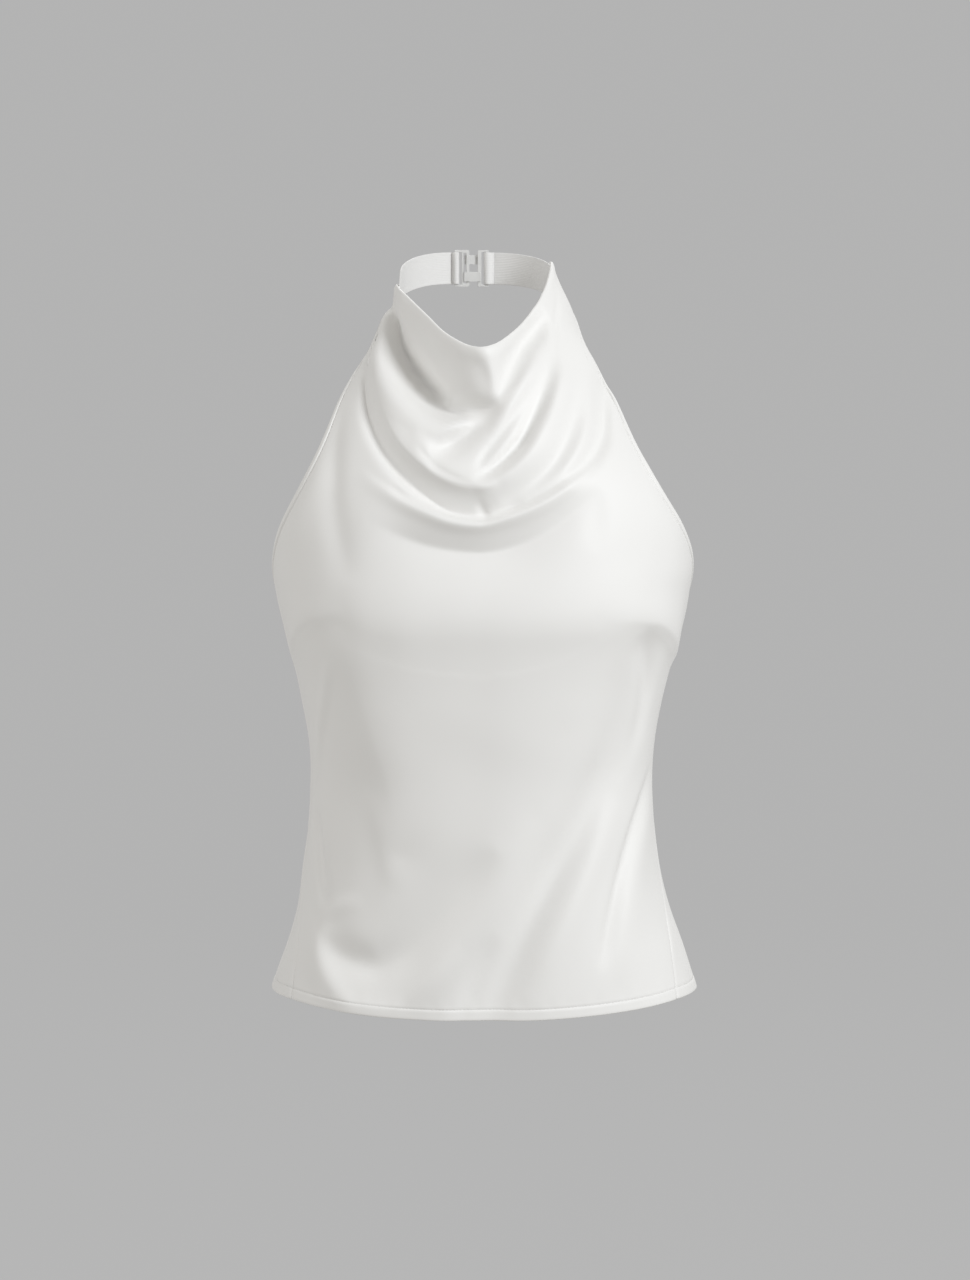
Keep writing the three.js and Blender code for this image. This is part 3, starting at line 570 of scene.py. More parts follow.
def foldPush(places, fold, onBack):
    # The places that a fold reaches, and how far out it carries each.
    path, high, over, under, ahead, across = foldLine(fold, onBack)
    reach = folding["reach"] * max(over.max(), under.max()) + folding["margin"]
    stops = path[:: max(len(path) // 16, 1)]
    nearest = np.min([((places - stop) ** 2).sum(1) for stop in stops], axis=0)
    near = np.nonzero(nearest < reach**2)[0]
    offset = places[near][:, None, :] - path[None]
    weight = ((offset**2).sum(2) + 1.0) ** -folding["nearest"]
    weight /= weight.sum(1, keepdims=True)
    side = (weight * (offset * across[None]).sum(2)).sum(1)
    beyond = (weight * (offset * ahead[None]).sum(2)).sum(1)
    wideOver, wideUnder = weight @ over, weight @ under
    wide = np.where(side > 0, wideOver, wideUnder)
    power = np.where(side > 0, fold["sharp"], fold["sharpUnder"])
    pastEnd = 2 * beyond / (wideOver + wideUnder)
    return near, (weight @ high) * np.exp(-((np.abs(side) / wide) ** power) - pastEnd**2)


def foldedOut(grid):
    # Pushes the grid out or in by every fold, nearly level, and lets each fold droop.
    normals = gridNormals(grid).reshape(-1, 3)
    places = grid.reshape(-1, 3)
    moved = places.copy()
    for folds, onBack, sideways in (
        (cowlFolds, False, folding["cowlSideways"]),
        (bodyFolds, False, folding["bodySideways"]),
        (backFolds, True, folding["bodySideways"]),
    ):
        facing = 1 if onBack else -1
        pushed = normals * (sideways, 1, sideways / 2)
        pushed[:, 1] = facing * np.maximum(facing * normals[:, 1], folding["leastOutwards"])
        pushed = unit(pushed)
        for values in folds.values():
            fold = dict(zip(foldColumns, values))
            near, push = foldPush(places, fold, onBack)
            moved[near] += pushed[near] * push[:, None]
            moved[near, 2] -= push * fold["droop"]
    return moved.reshape(grid.shape)


def eased(grid, rounds):
    # Evens the grid out a little, away from its edges.
    for _ in range(rounds):
        middle = grid[1:-1, 1:-1]
        around = (grid[:-2, 1:-1] + grid[2:, 1:-1] + grid[1:-1, :-2] + grid[1:-1, 2:]) / 4
        grid[1:-1, 1:-1] = middle + (around - middle) * 0.5
    return grid


def unevenness(grid, seed, waves):
    # Slow ripples in the cloth: each wave is (height, length), and lies in its own direction.
    draw = np.random.default_rng(seed)
    total = np.zeros(grid.shape[:2])
    for high, length in waves:
        for _ in range(5):
            direction = unit(draw.normal(size=3))
            total += high * np.sin(grid @ direction * 2 * np.pi / length + draw.uniform(0, 6.3))
    return total / 5**0.5


# Edges: depths and thicknesses of the turned bands, then how their surface swells and dips.
edging = {
    "clothThick": 0.5,
    "neckRoll": 2.2,
    "neckRollReach": 5,
    "neckRollEnds": 14,
    "facingThick": 1.3,
    "facingDeep": 42,
    "hemDeep": 7.2,
    "hemThick": 1.5,
    "armholeDeep": 5,
    "armholeThick": 1.3,
    "armholeBelowNeck": 20,
    "allowanceDeep": 9,
    "allowanceThick": 1.1,
    "allowanceBelowNeck": 40,
    "bandSwell": 0.34,
    "stitchGroove": 0.6,
    "armholeSwell": 0.75,
    "armholeGroove": 1.1,
    "outOfSightUp": 473,  # where the left armhole's edge turns out of sight
    "outOfSightWide": 13,
    "seamDip": 0.6,
    "seamDipWide": 1.1,
    "neckSwell": 0.6,
    "neckSwellDeep": 3.2,
    "puckerHigh": 0.09,
    "puckerPast": 2,
    "puckerWide": 4,
}


def band(distance, deep, soft=0.5):
    # 1 within that distance of an edge, 0 beyond it.
    return 1 / (1 + np.exp(np.clip((distance - deep) / soft, -40, 40)))


def line(distance, at, wide=0.45):
    # 1 at that distance, falling to 0 on either side.
    return np.exp(-(((distance - at) / wide) ** 2))


def puckers(flatX, long, short, phase):
    # The cloth drawn up along a stitched band, in waves of two lengths.
    return np.sin(flatX / long) + 0.6 * np.sin(flatX / short + phase)


def stitchedBand(distance, deep, soft, pucker):
    # A turned band that swells, dips along its stitches and puckers beyond them.
    beyond = line(distance, deep + edging["puckerPast"], edging["puckerWide"])
    return (
        edging["bandSwell"] * band(distance, deep, soft)
        - edging["stitchGroove"] * line(distance, deep)
        + edging["puckerHigh"] * pucker * beyond
    )


def thicker(kind, where):
    # What a band adds to the cloth's own thickness.
    return (edging[kind] - edging["clothThick"]) * where


def dressedFront(sheet):
    # The front's outer skin with its folds, edges and darts, and how thick it is.
    fromHem, fromNeck, fromSide = sheet["fromHem"], sheet["fromNeck"], sheet["fromSide"]
    sideUp = sheet["sideUp"]
    grid = eased(foldedOut(sheet["grid"]), 1)
    onArmhole = band(frontPanel["underarmUp"], sideUp, 3) * band(
        sideUp, frontPanel["armholeTopUp"], 4
    )
    pressed = onArmhole * (1 - line(sideUp, edging["outOfSightUp"], edging["outOfSightWide"]))
    out = unevenness(grid, 4, [(0.25, 70), (0.12, 31)])
    out += stitchedBand(fromHem, edging["hemDeep"], 0.6, puckers(sheet["flatX"], 3.1, 1.9, 1.3))
    out += edging["armholeSwell"] * band(fromSide, edging["armholeDeep"], 0.3) * pressed
    out -= edging["armholeGroove"] * line(fromSide, edging["armholeDeep"]) * pressed
    out -= edging["seamDip"] * line(fromSide, 0, edging["seamDipWide"]) * (1 - onArmhole)
    out += edging["neckSwell"] * line(fromNeck, edging["neckSwellDeep"], edging["neckSwellDeep"])
    roll = band(fromNeck, edging["neckRollReach"], 1.2) * (
        1 - band(fromSide, edging["neckRollEnds"], 4)
    )
    turned = onArmhole * (1 - band(fromNeck, edging["armholeBelowNeck"], 4))
    seamed = (1 - onArmhole) * (1 - band(fromNeck, edging["allowanceBelowNeck"], 6))
    thick = (
        edging["clothThick"]
        + thicker("facingThick", band(fromNeck, edging["facingDeep"], 0.8))
        + (edging["neckRoll"] - edging["facingThick"]) * roll
        + thicker("hemThick", band(fromHem, edging["hemDeep"], 0.3))
        + thicker("armholeThick", band(fromSide, edging["armholeDeep"], 0.3) * turned)
        + thicker("allowanceThick", band(fromSide, edging["allowanceDeep"]) * seamed)
    )
    return grid + gridNormals(grid) * out[..., None], thick


def dressedBack(sheet):
    # The back's outer skin with its folds and edges, and how thick it is.
    fromHem, fromTop, fromSide = sheet["fromHem"], sheet["fromTop"], sheet["fromSide"]
    grid = eased(foldedOut(sheet["grid"]), 3)
    pucker = puckers(sheet["flatX"], 2.9, 1.7, 0.4)
    out = unevenness(grid, 9, [(0.3, 70), (0.14, 33)])
    out += stitchedBand(fromHem, edging["hemDeep"], 0.6, pucker)
    out += stitchedBand(fromTop, backPanel["topDeep"], 0.5, pucker)
    out -= edging["seamDip"] * line(fromSide, 0, edging["seamDipWide"])
    thick = (
        edging["clothThick"]
        + thicker("hemThick", band(fromHem, edging["hemDeep"], 0.3))
        + thicker("armholeThick", band(fromTop, backPanel["topDeep"], 0.3))
        + thicker("allowanceThick", band(fromSide, edging["allowanceDeep"]))
    )
    return grid + gridNormals(grid) * out[..., None], thick


def addObject(name, data):
    made = bpy.data.objects.new(name, data)
    bpy.context.scene.collection.objects.link(made)
    return made


def meshPiece(name, points, faces, materials, kinds=None, uv=None, smooth=True):
    # A mesh from points in millimetres, in the scene.
    mesh = bpy.data.meshes.new(name)
    mesh.from_pydata((points * mm).tolist(), [], faces)
    for material in materials:
        mesh.materials.append(material)
    if smooth:
        mesh.shade_smooth()
    if kinds is not None:
        mesh.polygons.foreach_set("material_index", kinds.astype(np.int32))
    if uv is not None:
        loops = np.empty(len(mesh.loops), np.int32)
        mesh.loops.foreach_get("vertex_index", loops)
        layer = mesh.uv_layers.new(name="cloth")
        layer.data.foreach_set("uv", (uv[loops] * mm).astype(np.float32).ravel())
    mesh.update()
    return addObject(name, mesh)


def evaluatedMesh(holder):
    # The mesh that a helper object makes; the helper itself goes.
    evaluated = holder.evaluated_get(bpy.context.evaluated_depsgraph_get())
    mesh = bpy.data.meshes.new_from_object(evaluated)
    holder.modifiers.clear()
    bpy.data.objects.remove(holder)
    return mesh


def ringFaces(rings):
    # The faces between closed rings of points, each a row of point numbers.
    turned = np.roll(rings, -1, axis=1)
    return np.stack([rings[:-1], turned[:-1], turned[1:], rings[1:]], -1).reshape(-1, 4)


def clothPiece(name, outer, thick, flatX, flatY, rimSteps=4):
    # A closed shell: the outer skin, an inner one behind it, and a round rim between them.
    rows, columns = outer.shape[:2]
    normals = gridNormals(outer)
    inner = outer - normals * thick[..., None]
    count = rows * columns
    index = np.arange(count).reshape(rows, columns)
    corners = index[:-1, :-1], index[1:, :-1], index[1:, 1:], index[:-1, 1:]
    outerFaces = np.stack(corners, -1).reshape(-1, 4)
    innerFaces = outerFaces[:, [0, 3, 2, 1]] + count
    around = np.concatenate(
        [index[0, :-1], index[:-1, -1], index[-1, :0:-1], index[:0:-1, 0]]
    )
    step = np.zeros_like(outer)
    step[0] += outer[0] - outer[1]
    step[-1] += outer[-1] - outer[-2]
    step[:, 0] += outer[:, 0] - outer[:, 1]
    step[:, -1] += outer[:, -1] - outer[:, -2]
    outwards = step.reshape(-1, 3)[around]
    normal = normals.reshape(-1, 3)[around]
    outwards = unit(outwards - normal * (outwards * normal).sum(1, keepdims=True))
    half = (thick.reshape(-1)[around] / 2)[:, None]
    centre = outer.reshape(-1, 3)[around] - normal * half
    rimPoints, loops = [], [around]
    for k in range(1, rimSteps):
        angle = math.pi * k / rimSteps
        rimPoints.append(
            centre + normal * half * math.cos(angle) + outwards * half * math.sin(angle)
        )
        loops.append(2 * count + (k - 1) * len(around) + np.arange(len(around)))
    rimFaces = ringFaces(np.array([*loops, around + count]))
    points = np.concatenate([outer.reshape(-1, 3), inner.reshape(-1, 3), *rimPoints])
    faces = np.concatenate([outerFaces, innerFaces, rimFaces])
    flat = np.stack(np.broadcast_arrays(flatX, flatY), -1).reshape(-1, 2)
    uv = np.concatenate([flat, flat] + [flat[around]] * (rimSteps - 1))
    kinds = np.repeat([0, 1, 0], [len(outerFaces), len(innerFaces), len(rimFaces)])
    return meshPiece(name, points, faces.tolist(), [satinOut, satinIn], kinds, uv)


def feed(tree, node, inputs):
    # Sets a node's inputs, each to a value or to another node's output.
    for name, value in inputs.items():
        if isinstance(value, bpy.types.NodeSocket):
            tree.links.new(value, node.inputs[name])
        else:
            node.inputs[name].default_value = value


def addNode(tree, kind, output, **values):
    # A new node, of which it gives one output. Capitalised names are inputs, others are settings.
    node = tree.nodes.new(kind)
    for name in filter(str.islower, values):
        setattr(node, name, values[name])
    feed(tree, node, {name.replace("_", " "): values[name] for name in values if name.istitle()})
    return node.outputs[output]


def newMaterial(name):
    material = bpy.data.materials.new(name)
    material.use_nodes = True
    return material, material.node_tree, material.node_tree.nodes["Principled BSDF"]


def noise(tree, place, scale, detail=2):
    return addNode(tree, "ShaderNodeTexNoise", "Fac", Vector=place, Scale=scale, Detail=detail)


def tinted(tree, by, first, second):
    return addNode(tree, "ShaderNodeMix", "Result", data_type="RGBA", Factor=by, A=first, B=second)


def bumped(tree, by, strength, deep):
    return addNode(tree, "ShaderNodeBump", "Normal", Height=by, Strength=strength, Distance=deep)


satinLook = {
    "face": {"color": (0.86, 0.855, 0.838, 1), "shade": (0.835, 0.828, 0.812, 1),
             "roughness": (0.5, 0.6), "sheen": 0.18},
    "reverse": {"color": (0.80, 0.795, 0.775, 1), "shade": (0.80, 0.795, 0.775, 1),
                "roughness": (0.55, 0.65), "sheen": 0.1},
    "cloudScale": 16,
    "slubScale": (900, 45, 1),
    "weaveScale": 700,
    "weaveBump": 0.000008,
}
elasticLook = {
    "color": (0.80, 0.795, 0.785, 1),
    "shade": (0.74, 0.735, 0.725, 1),
    "knitScale": 420,
    "knitBump": 0.00008,
}


def satinMaterial(name, look):
    material, tree, shader = newMaterial(name)
    place = addNode(tree, "ShaderNodeUVMap", "UV", uv_map="cloth")
    cloud = noise(tree, place, satinLook["cloudScale"], 3)
    # Slubs run along the warp, and the weave crosses them.
    long = addNode(
        tree, "ShaderNodeMapping", "Vector", Vector=place, Scale=satinLook["slubScale"]
    )
    slub = noise(tree, long, 1, 4)
    weave = addNode(
        tree, "ShaderNodeTexWave", "Fac",
        Vector=place, Scale=satinLook["weaveScale"], Distortion=1.5,
    )
    height = addNode(tree, "ShaderNodeMath", "Value", operation="ADD")
    feed(tree, height.node, {0: slub, 1: weave})
    smooth, rough = look["roughness"]
    spread = addNode(tree, "ShaderNodeMapRange", "Result", Value=slub, To_Min=smooth, To_Max=rough)
    feed(tree, shader, {
        "Base Color": tinted(tree, cloud, look["color"], look["shade"]),
        "Roughness": spread,
        "Normal": bumped(tree, height, 0.35, satinLook["weaveBump"]),
        "Sheen Weight": look["sheen"],
        "Sheen Roughness": 0.4,
        "Specular IOR Level": 0.5,
    })
    return material


def elasticMaterial():
    material, tree, shader = newMaterial("knittedElastic")
    knit = addNode(
        tree, "ShaderNodeTexWave", "Fac", bands_direction="X", Distortion=0.6,
        Vector=addNode(tree, "ShaderNodeUVMap", "UV", uv_map="cloth"),
        Scale=elasticLook["knitScale"],
    )
    feed(tree, shader, {
        "Base Color": tinted(tree, knit, elasticLook["shade"], elasticLook["color"]),
        "Normal": bumped(tree, knit, 0.5, elasticLook["knitBump"]),
        "Roughness": 0.55,
        "Sheen Weight": 0.2,
    })
    return material


threadLook = {
    "cloudScale": 1500,
    "shade": (0.66, 0.655, 0.64, 1),
    "color": (0.82, 0.815, 0.80, 1),
    "shader": {"Roughness": 0.6},
}
claspLook = {
    "cloudScale": 180,
    "shade": (0.80, 0.80, 0.785, 1),
    "color": (0.88, 0.88, 0.87, 1),
    "bump": 0.0001,
    "shader": {"Roughness": 0.25, "Transmission Weight": 0.25, "IOR": 1.5},
}


def cloudedMaterial(name, look):
    # One colour clouded with another.
    material, tree, shader = newMaterial(name)
    cloud = noise(tree, addNode(tree, "ShaderNodeTexCoord", "Object"), look["cloudScale"])
    feed(tree, shader, {"Base Color": tinted(tree, cloud, look["shade"], look["color"])})
    feed(tree, shader, look["shader"])
    if "bump" in look:
        feed(tree, shader, {"Normal": bumped(tree, cloud, 0.2, look["bump"])})
    return material


satinOut = satinMaterial("satinFace", satinLook["face"])
satinIn = satinMaterial("satinReverse", satinLook["reverse"])
elastic = elasticMaterial()
thread = cloudedMaterial("sewingThread", threadLook)
plastic = cloudedMaterial("claspPlastic", claspLook)

rowOrder, rowDeep = rowPlaces()
rowSideUp = threadAt["side"](rowOrder)
front = sheetGrid(frontRow, rowOrder)
front["fromNeck"] = rowDeep[:, None]
front["fromHem"] = (rowDeep[-1] - rowDeep)[:, None]
front["sideUp"] = rowSideUp[:, None]
frontOuter, frontThick = dressedFront(front)
frontPiece = clothPiece("frontPanel", frontOuter, frontThick, front["flatX"], front["fromHem"])
print("front panel made:", len(frontPiece.data.polygons), "faces")

# The back's rows are at the front's own heights down the side seams.
backRows = np.concatenate([
    frontPanel["underarmUp"] - np.array(sideSteps),
    rowSideUp[rowSideUp < frontPanel["underarmUp"] - sideSteps[-1]],
])
back = sheetGrid(backRow, backRows)
back["fromHem"] = backRows[:, None]
back["fromTop"] = (frontPanel["underarmUp"] - backRows)[:, None]
backOuter, backThick = dressedBack(back)
backPiece = clothPiece("backPanel", backOuter, backThick, back["flatX"], back["fromHem"])
print("back panel made:", len(backPiece.data.polygons), "faces")

# The strap: ribbed elastic in two halves, each sewn inside the front's corner and folded round the
# clasp's post.
strap = {
    "across": -4,
    "topWide": 56.4,
    "bottomWide": 58.4,
    "aft": 61,
    "behind": 13,
    "startUp": 519,
    "tall": 24,
    "thick": 1.1,
    "ribPitch": 1.25,
    "ribDeep": 0.045,
    "borderWide": 1.6,
    "borderSwell": 0.05,
    "edgeRound": 0.5,
    "bendBefore": 3,
    "bendHalf": 0.6,
    "tails": {-1: 2.4, 1: 5},
    "tailGap": 0.1,
    "step": 0.9,
    "columns": 97,
    "seamStep": 3,  # from the tail's end
    "seamInset": 8,
}
clasp = {
    "x": -8.2,
    "tall": 27.4,
    "wide": 26,
    "thick": 2,
    "gap": 0.3,
    "postWide": 1.8,
    "slotInner": 7.4,
    "windowFrom": 4,
    "windowTo": 6.2,
    "windowHalf": 11.6,
    "barFrom": 1.8,
    "bodyFrom": 4.6,
    "cornerRadius": 0.9,
    "bevel": 0.3,
    "slotSlack": 0.35,
    "prongThick": 1.1,
    "prongRadius": 0.8,
    "prongBevel": 0.25,
    "footBevel": 0.2,
    "prongs": [(-5.2, 3.2, 10, 1), (-5.8, -10, -2.8, -1)],  # tip, low, high, behind or in front
    "prongInset": 0.4,
    "lipEnd": -4.4,
}
strapWide = (strap["topWide"] + strap["bottomWide"]) / 2
postInset = (clasp["wide"] - clasp["postWide"]) / 2
postRadius = math.hypot(clasp["postWide"], clasp["thick"]) / 2 + clasp["gap"] + strap["bendHalf"]


def strapBehind(across):
    share = (across - strap["across"]) / strapWide
    return strap["behind"] + strap["aft"] * math.sqrt(1 - share * share)


postLine = [strapBehind(clasp["x"] + side * postInset) - postRadius for side in (-1, 1)]
clasp["y"] = sum(postLine) / 2
clasp["turn"] = math.atan2(postLine[1] - postLine[0], 2 * postInset)


def strapPath(side):
    # The top and bottom edges of one half, from the front's corner to the end of its folded tail.
    postX = clasp["x"] + side * postInset * math.cos(clasp["turn"])
    postY = clasp["y"] + side * postInset * math.sin(clasp["turn"])
    lastAcross = abs(postX + side * strap["bendBefore"] - strap["across"])
    endTurn = math.pi - math.asin(lastAcross / strapWide)
    lean = (strap["bottomWide"] - strap["topWide"]) / 2
    tops, bottoms = [], []
    for share in np.linspace(0, 1, 60):
        turn = math.pi / 2 + (endTurn - math.pi / 2) * share
        drop = (wornForm["napeUp"] - strap["startUp"]) * (1 - math.sin(share * math.pi / 2))
        for half, edge in ((1, tops), (-1, bottoms)):
            inwards = half * lean * (1 - share)
            edge.append((
                strap["across"] + side * (strapWide - inwards) * math.sin(turn),
                strap["behind"] - (strap["aft"] - inwards) * math.cos(turn),
                half * strap["tall"] / 2 - drop,
            ))
    flat = [
        (postX - side * postRadius * math.sin(bend), postY + postRadius * math.cos(bend))
        for bend in np.linspace(0, math.pi, 25)
    ]
    foldDeep = 2 * postRadius
    for share in np.linspace(0.2, 1, 5):
        tailX = postX + side * strap["tails"][side] * share
        closing = share * share * (3 - 2 * share)
        stands = foldDeep + (strap["thick"] + strap["tailGap"] - foldDeep) * closing
        flat.append((tailX, strapBehind(tailX) - stands))
    for x, y in flat:
        tops.append((x, y, strap["tall"] / 2))
        bottoms.append((x, y, -strap["tall"] / 2))
    return np.array(tops), np.array(bottoms)


def strapPiece(name, side):
    # One half of the strap, and the line of stitches that holds its folded tail.
    tops, bottoms = strapPath(side)
    run = runAlong((tops + bottoms) / 2)
    at = np.linspace(0, run[-1], int(run[-1] / strap["step"]))
    top, bottom = (
        np.stack([np.interp(at, run, values) for values in edge.T], -1) for edge in (tops, bottoms)
    )
    middle = (top + bottom) / 2
    ahead = unit(np.gradient(middle, axis=0))
    outward = unit(np.cross(unit(top - bottom), ahead)) * side
    high = np.linspace(1, -1, strap["columns"])
    fromEdge = (1 - np.abs(high)) * strap["tall"] / 2
    inBorder = band(fromEdge, strap["borderWide"], 0.15)
    rib = strap["ribDeep"] * np.cos(high * strap["tall"] * math.pi / strap["ribPitch"])
    half = strap["thick"] / 2 + rib * (1 - inBorder) + strap["borderSwell"] * inBorder
    half = half * np.clip(fromEdge / strap["edgeRound"], 0.35, 1) ** 0.5
    centre = middle[:, None] + (top - bottom)[:, None] / 2 * high[None, :, None]
    stands = outward[:, None] * half[None, :, None]
    section = np.concatenate([centre + stands, (centre - stands)[:, ::-1]], axis=1)
    steps, around = section.shape[:2]
    index = np.arange(steps * around).reshape(steps, around)
    faces = ringFaces(index)[:, ::-side].tolist()
    for end, flip in ((index[0], side > 0), (index[-1], side < 0)):
        end = end.tolist()
        for k in range(len(high) - 1):
            quad = [end[k], end[k + 1], end[-k - 2], end[-k - 1]]
            faces.append(quad if flip else quad[::-1])
    across = np.concatenate([high, high[::-1]]) * strap["tall"] / 2
    uv = np.stack(np.broadcast_arrays(at[:, None], across[None]), -1).reshape(-1, 2)
    piece = meshPiece(name, section.reshape(-1, 3), faces, [elastic], uv=uv)
    step, inset = -strap["seamStep"], strap["seamInset"]
    seam = centre[step][inset:-inset] + outward[step] * (strap["thick"] / 2 + strap["tailGap"])
    return piece, seam


leftStrap, leftSeam = strapPiece("leftStrap", -1)
rightStrap, rightSeam = strapPiece("rightStrap", 1)
print("straps made:", len(leftStrap.data.polygons), "faces each")


def plate(outline, thick, y, bevel, holes=()):
    # A flat plate with holes and round edges, upright, from its outline across and up.
    curve = bpy.data.curves.new("plate", "CURVE")
    curve.dimensions = "2D"
    curve.fill_mode = "BOTH"
    curve.extrude = (thick / 2 - bevel) * mm
    curve.bevel_depth = bevel * mm
    curve.bevel_resolution = 2
    curve.offset = -bevel * mm
    for corners in [outline, *holes]:
        spline = curve.splines.new("POLY")
        spline.points.add(len(corners) - 1)
        for point, (x, z) in zip(spline.points, corners):
            point.co = (x * mm, z * mm, 0, 1)
        spline.use_cyclic_u = True
    mesh = evaluatedMesh(addObject("plate", curve))
    points = np.array([v.co for v in mesh.vertices]).reshape(-1, 3) / mm
    placed = np.stack([points[:, 0], y - points[:, 2], points[:, 1]], -1)
    return placed, [list(p.vertices) for p in mesh.polygons]


def roundedRectangle(x0, x1, z0, z1, radius=0.5, steps=4):
    corners = []
    middles = [
        (x1 - radius, z1 - radius, 0), (x0 + radius, z1 - radius, 90),
        (x0 + radius, z0 + radius, 180), (x1 - radius, z0 + radius, 270),
    ]
    for x, z, start in middles:
        for k in range(steps + 1):
            angle = math.radians(start + 90 * k / steps)
            corners.append((x + radius * math.cos(angle), z + radius * math.sin(angle)))
    return corners


def claspPiece(name, plates):
    # One half of the clasp from its plates, turned into the strap's line.
    points, faces = np.empty((0, 3)), []
    for placed, plateFaces in plates:
        faces += [[v + len(points) for v in face] for face in plateFaces]
        points = np.concatenate([points, placed])
    cosine, sine = math.cos(clasp["turn"]), math.sin(clasp["turn"])
    x = clasp["x"] + points[:, 0] * cosine - points[:, 1] * sine
    y = clasp["y"] + points[:, 0] * sine + points[:, 1] * cosine
    turned = np.stack([x, y, points[:, 2]], -1)
    return meshPiece(name, turned, faces, [plastic], smooth=False)


halfWide, halfTall = clasp["wide"] / 2, clasp["tall"] / 2
slotHalf, window = strap["tall"] / 2 + clasp["slotSlack"], clasp["windowHalf"]
slotOuter = halfWide - clasp["postWide"]
loopFrame = plate(
    roundedRectangle(-halfWide, -clasp["barFrom"], -halfTall, halfTall, clasp["cornerRadius"]),
    clasp["thick"], 0, clasp["bevel"],
    [
        roundedRectangle(-slotOuter, -clasp["slotInner"], -slotHalf, slotHalf),
        roundedRectangle(-clasp["windowTo"], -clasp["windowFrom"], -window, window),
    ],
)
hookFrame = plate(
    roundedRectangle(clasp["bodyFrom"], halfWide, -halfTall, halfTall, clasp["cornerRadius"]),
    clasp["thick"], 0, clasp["bevel"],
    [roundedRectangle(clasp["slotInner"], slotOuter, -slotHalf, slotHalf)],
)
# Each prong has a foot on the hook's body, and the lower one ends in a lip behind the loop's bar.
prongLift = clasp["thick"] / 2 + clasp["gap"] + clasp["prongThick"] / 2
prongRoot = clasp["slotInner"] - clasp["prongInset"]
prongs = []
for tip, low, high, behind in clasp["prongs"]:
    blade = roundedRectangle(tip, prongRoot, low, high, clasp["prongRadius"])
    foot = roundedRectangle(clasp["bodyFrom"], prongRoot, low, high)
    prongs.append(plate(blade, clasp["prongThick"], behind * prongLift, clasp["prongBevel"]))
    prongs.append(plate(foot, prongLift, behind * prongLift / 2, clasp["footBevel"]))
tip, low, high, _ = clasp["prongs"][-1]
lip = roundedRectangle(tip, clasp["lipEnd"], low, high)
lipDeep = prongLift + clasp["thick"] / 2
prongs.append(plate(lip, lipDeep, clasp["thick"] / 4 - prongLift / 2, clasp["footBevel"]))
loopPiece = claspPiece("claspLoop", [loopFrame])
hookPiece = claspPiece("claspHook", [hookFrame, *prongs])
print("clasp made")

# Stitches: short lengths of thread along a line, by Geometry Nodes.
stitching = {
    "pitch": 2.6,
    "strapPitch": 1.3,
    "share": 0.72,  # of the pitch that a stitch takes up
    "thick": 0.34,
    "lift": 0.05,
    "seed": 3,
}


def stitchTree():
    tree = bpy.data.node_groups.new("stitchRow", "GeometryNodeTree")
    sockets = {
        name: tree.interface.new_socket(name, in_out="INPUT", socket_type="NodeSocket" + kind)
        for name, kind in (
            ("Line", "Geometry"), ("Pitch", "Float"), ("Length", "Float"), ("Thick", "Float"),
            ("Seed", "Int"), ("Thread", "Material"),
        )
    }
    tree.interface.new_socket("Stitches", in_out="OUTPUT", socket_type="NodeSocketGeometry")
    given = tree.nodes.new("NodeGroupInput").outputs
    curve = addNode(tree, "GeometryNodeMeshToCurve", "Curve", Mesh=given["Line"])
    evenly = addNode(
        tree, "GeometryNodeResampleCurve", "Curve", mode="LENGTH",
        Curve=curve, Length=given["Pitch"],
    )
    bead = addNode(tree, "GeometryNodeMeshUVSphere", "Mesh", Segments=6, Rings=5, Radius=0.5)
    long, thick = given["Length"], given["Thick"]
    size = addNode(tree, "ShaderNodeCombineXYZ", "Vector", X=long, Y=thick, Z=thick)
    shaped = addNode(tree, "GeometryNodeTransform", "Geometry", Geometry=bead, Scale=size)
    ahead = addNode(tree, "GeometryNodeInputTangent", "Tangent")
    lie = addNode(tree, "FunctionNodeAlignRotationToVector", "Rotation", axis="X", Vector=ahead)
    vary = addNode(
        tree, "FunctionNodeRandomValue", 1, data_type="FLOAT",
        Seed=given["Seed"], Min=0.88, Max=1.08,
    )
    laid = addNode(
        tree, "GeometryNodeInstanceOnPoints", "Instances",
        Points=evenly, Instance=shaped, Rotation=lie, Scale=vary,
    )
    made = addNode(tree, "GeometryNodeRealizeInstances", "Geometry", Geometry=laid)
    painted = addNode(
        tree, "GeometryNodeSetMaterial", "Geometry", Geometry=made, Material=given["Thread"]
    )
    feed(tree, tree.nodes.new("NodeGroupOutput"), {"Stitches": painted})
    return tree, {name: socket.identifier for name, socket in sockets.items()}


stitchRow, stitchSockets = stitchTree()


def stitchPiece(name, lines, pitch):
    # One piece of stitches along lines of points.
    edges, start = [], 0
    for run in lines:
        edges += [(start + k, start + k + 1) for k in range(len(run) - 1)]
        start += len(run)
    mesh = bpy.data.meshes.new(name + "Line")
    mesh.from_pydata((np.concatenate(lines) * mm).tolist(), edges, [])
    holder = addObject(name + "Line", mesh)
    sew = holder.modifiers.new("sew", "NODES")
    sew.node_group = stitchRow
    sew[stitchSockets["Pitch"]] = pitch * mm
    sew[stitchSockets["Length"]] = pitch * stitching["share"] * mm
    sew[stitchSockets["Thick"]] = stitching["thick"] * mm
    sew[stitchSockets["Seed"]] = stitching["seed"]
    sew[stitchSockets["Thread"]] = thread
    made = evaluatedMesh(holder)
    made.shade_smooth()
    return addObject(name, made)


def nearestRow(distance, at):
    return int(np.argmin(np.abs(distance[:, 0] - at)))


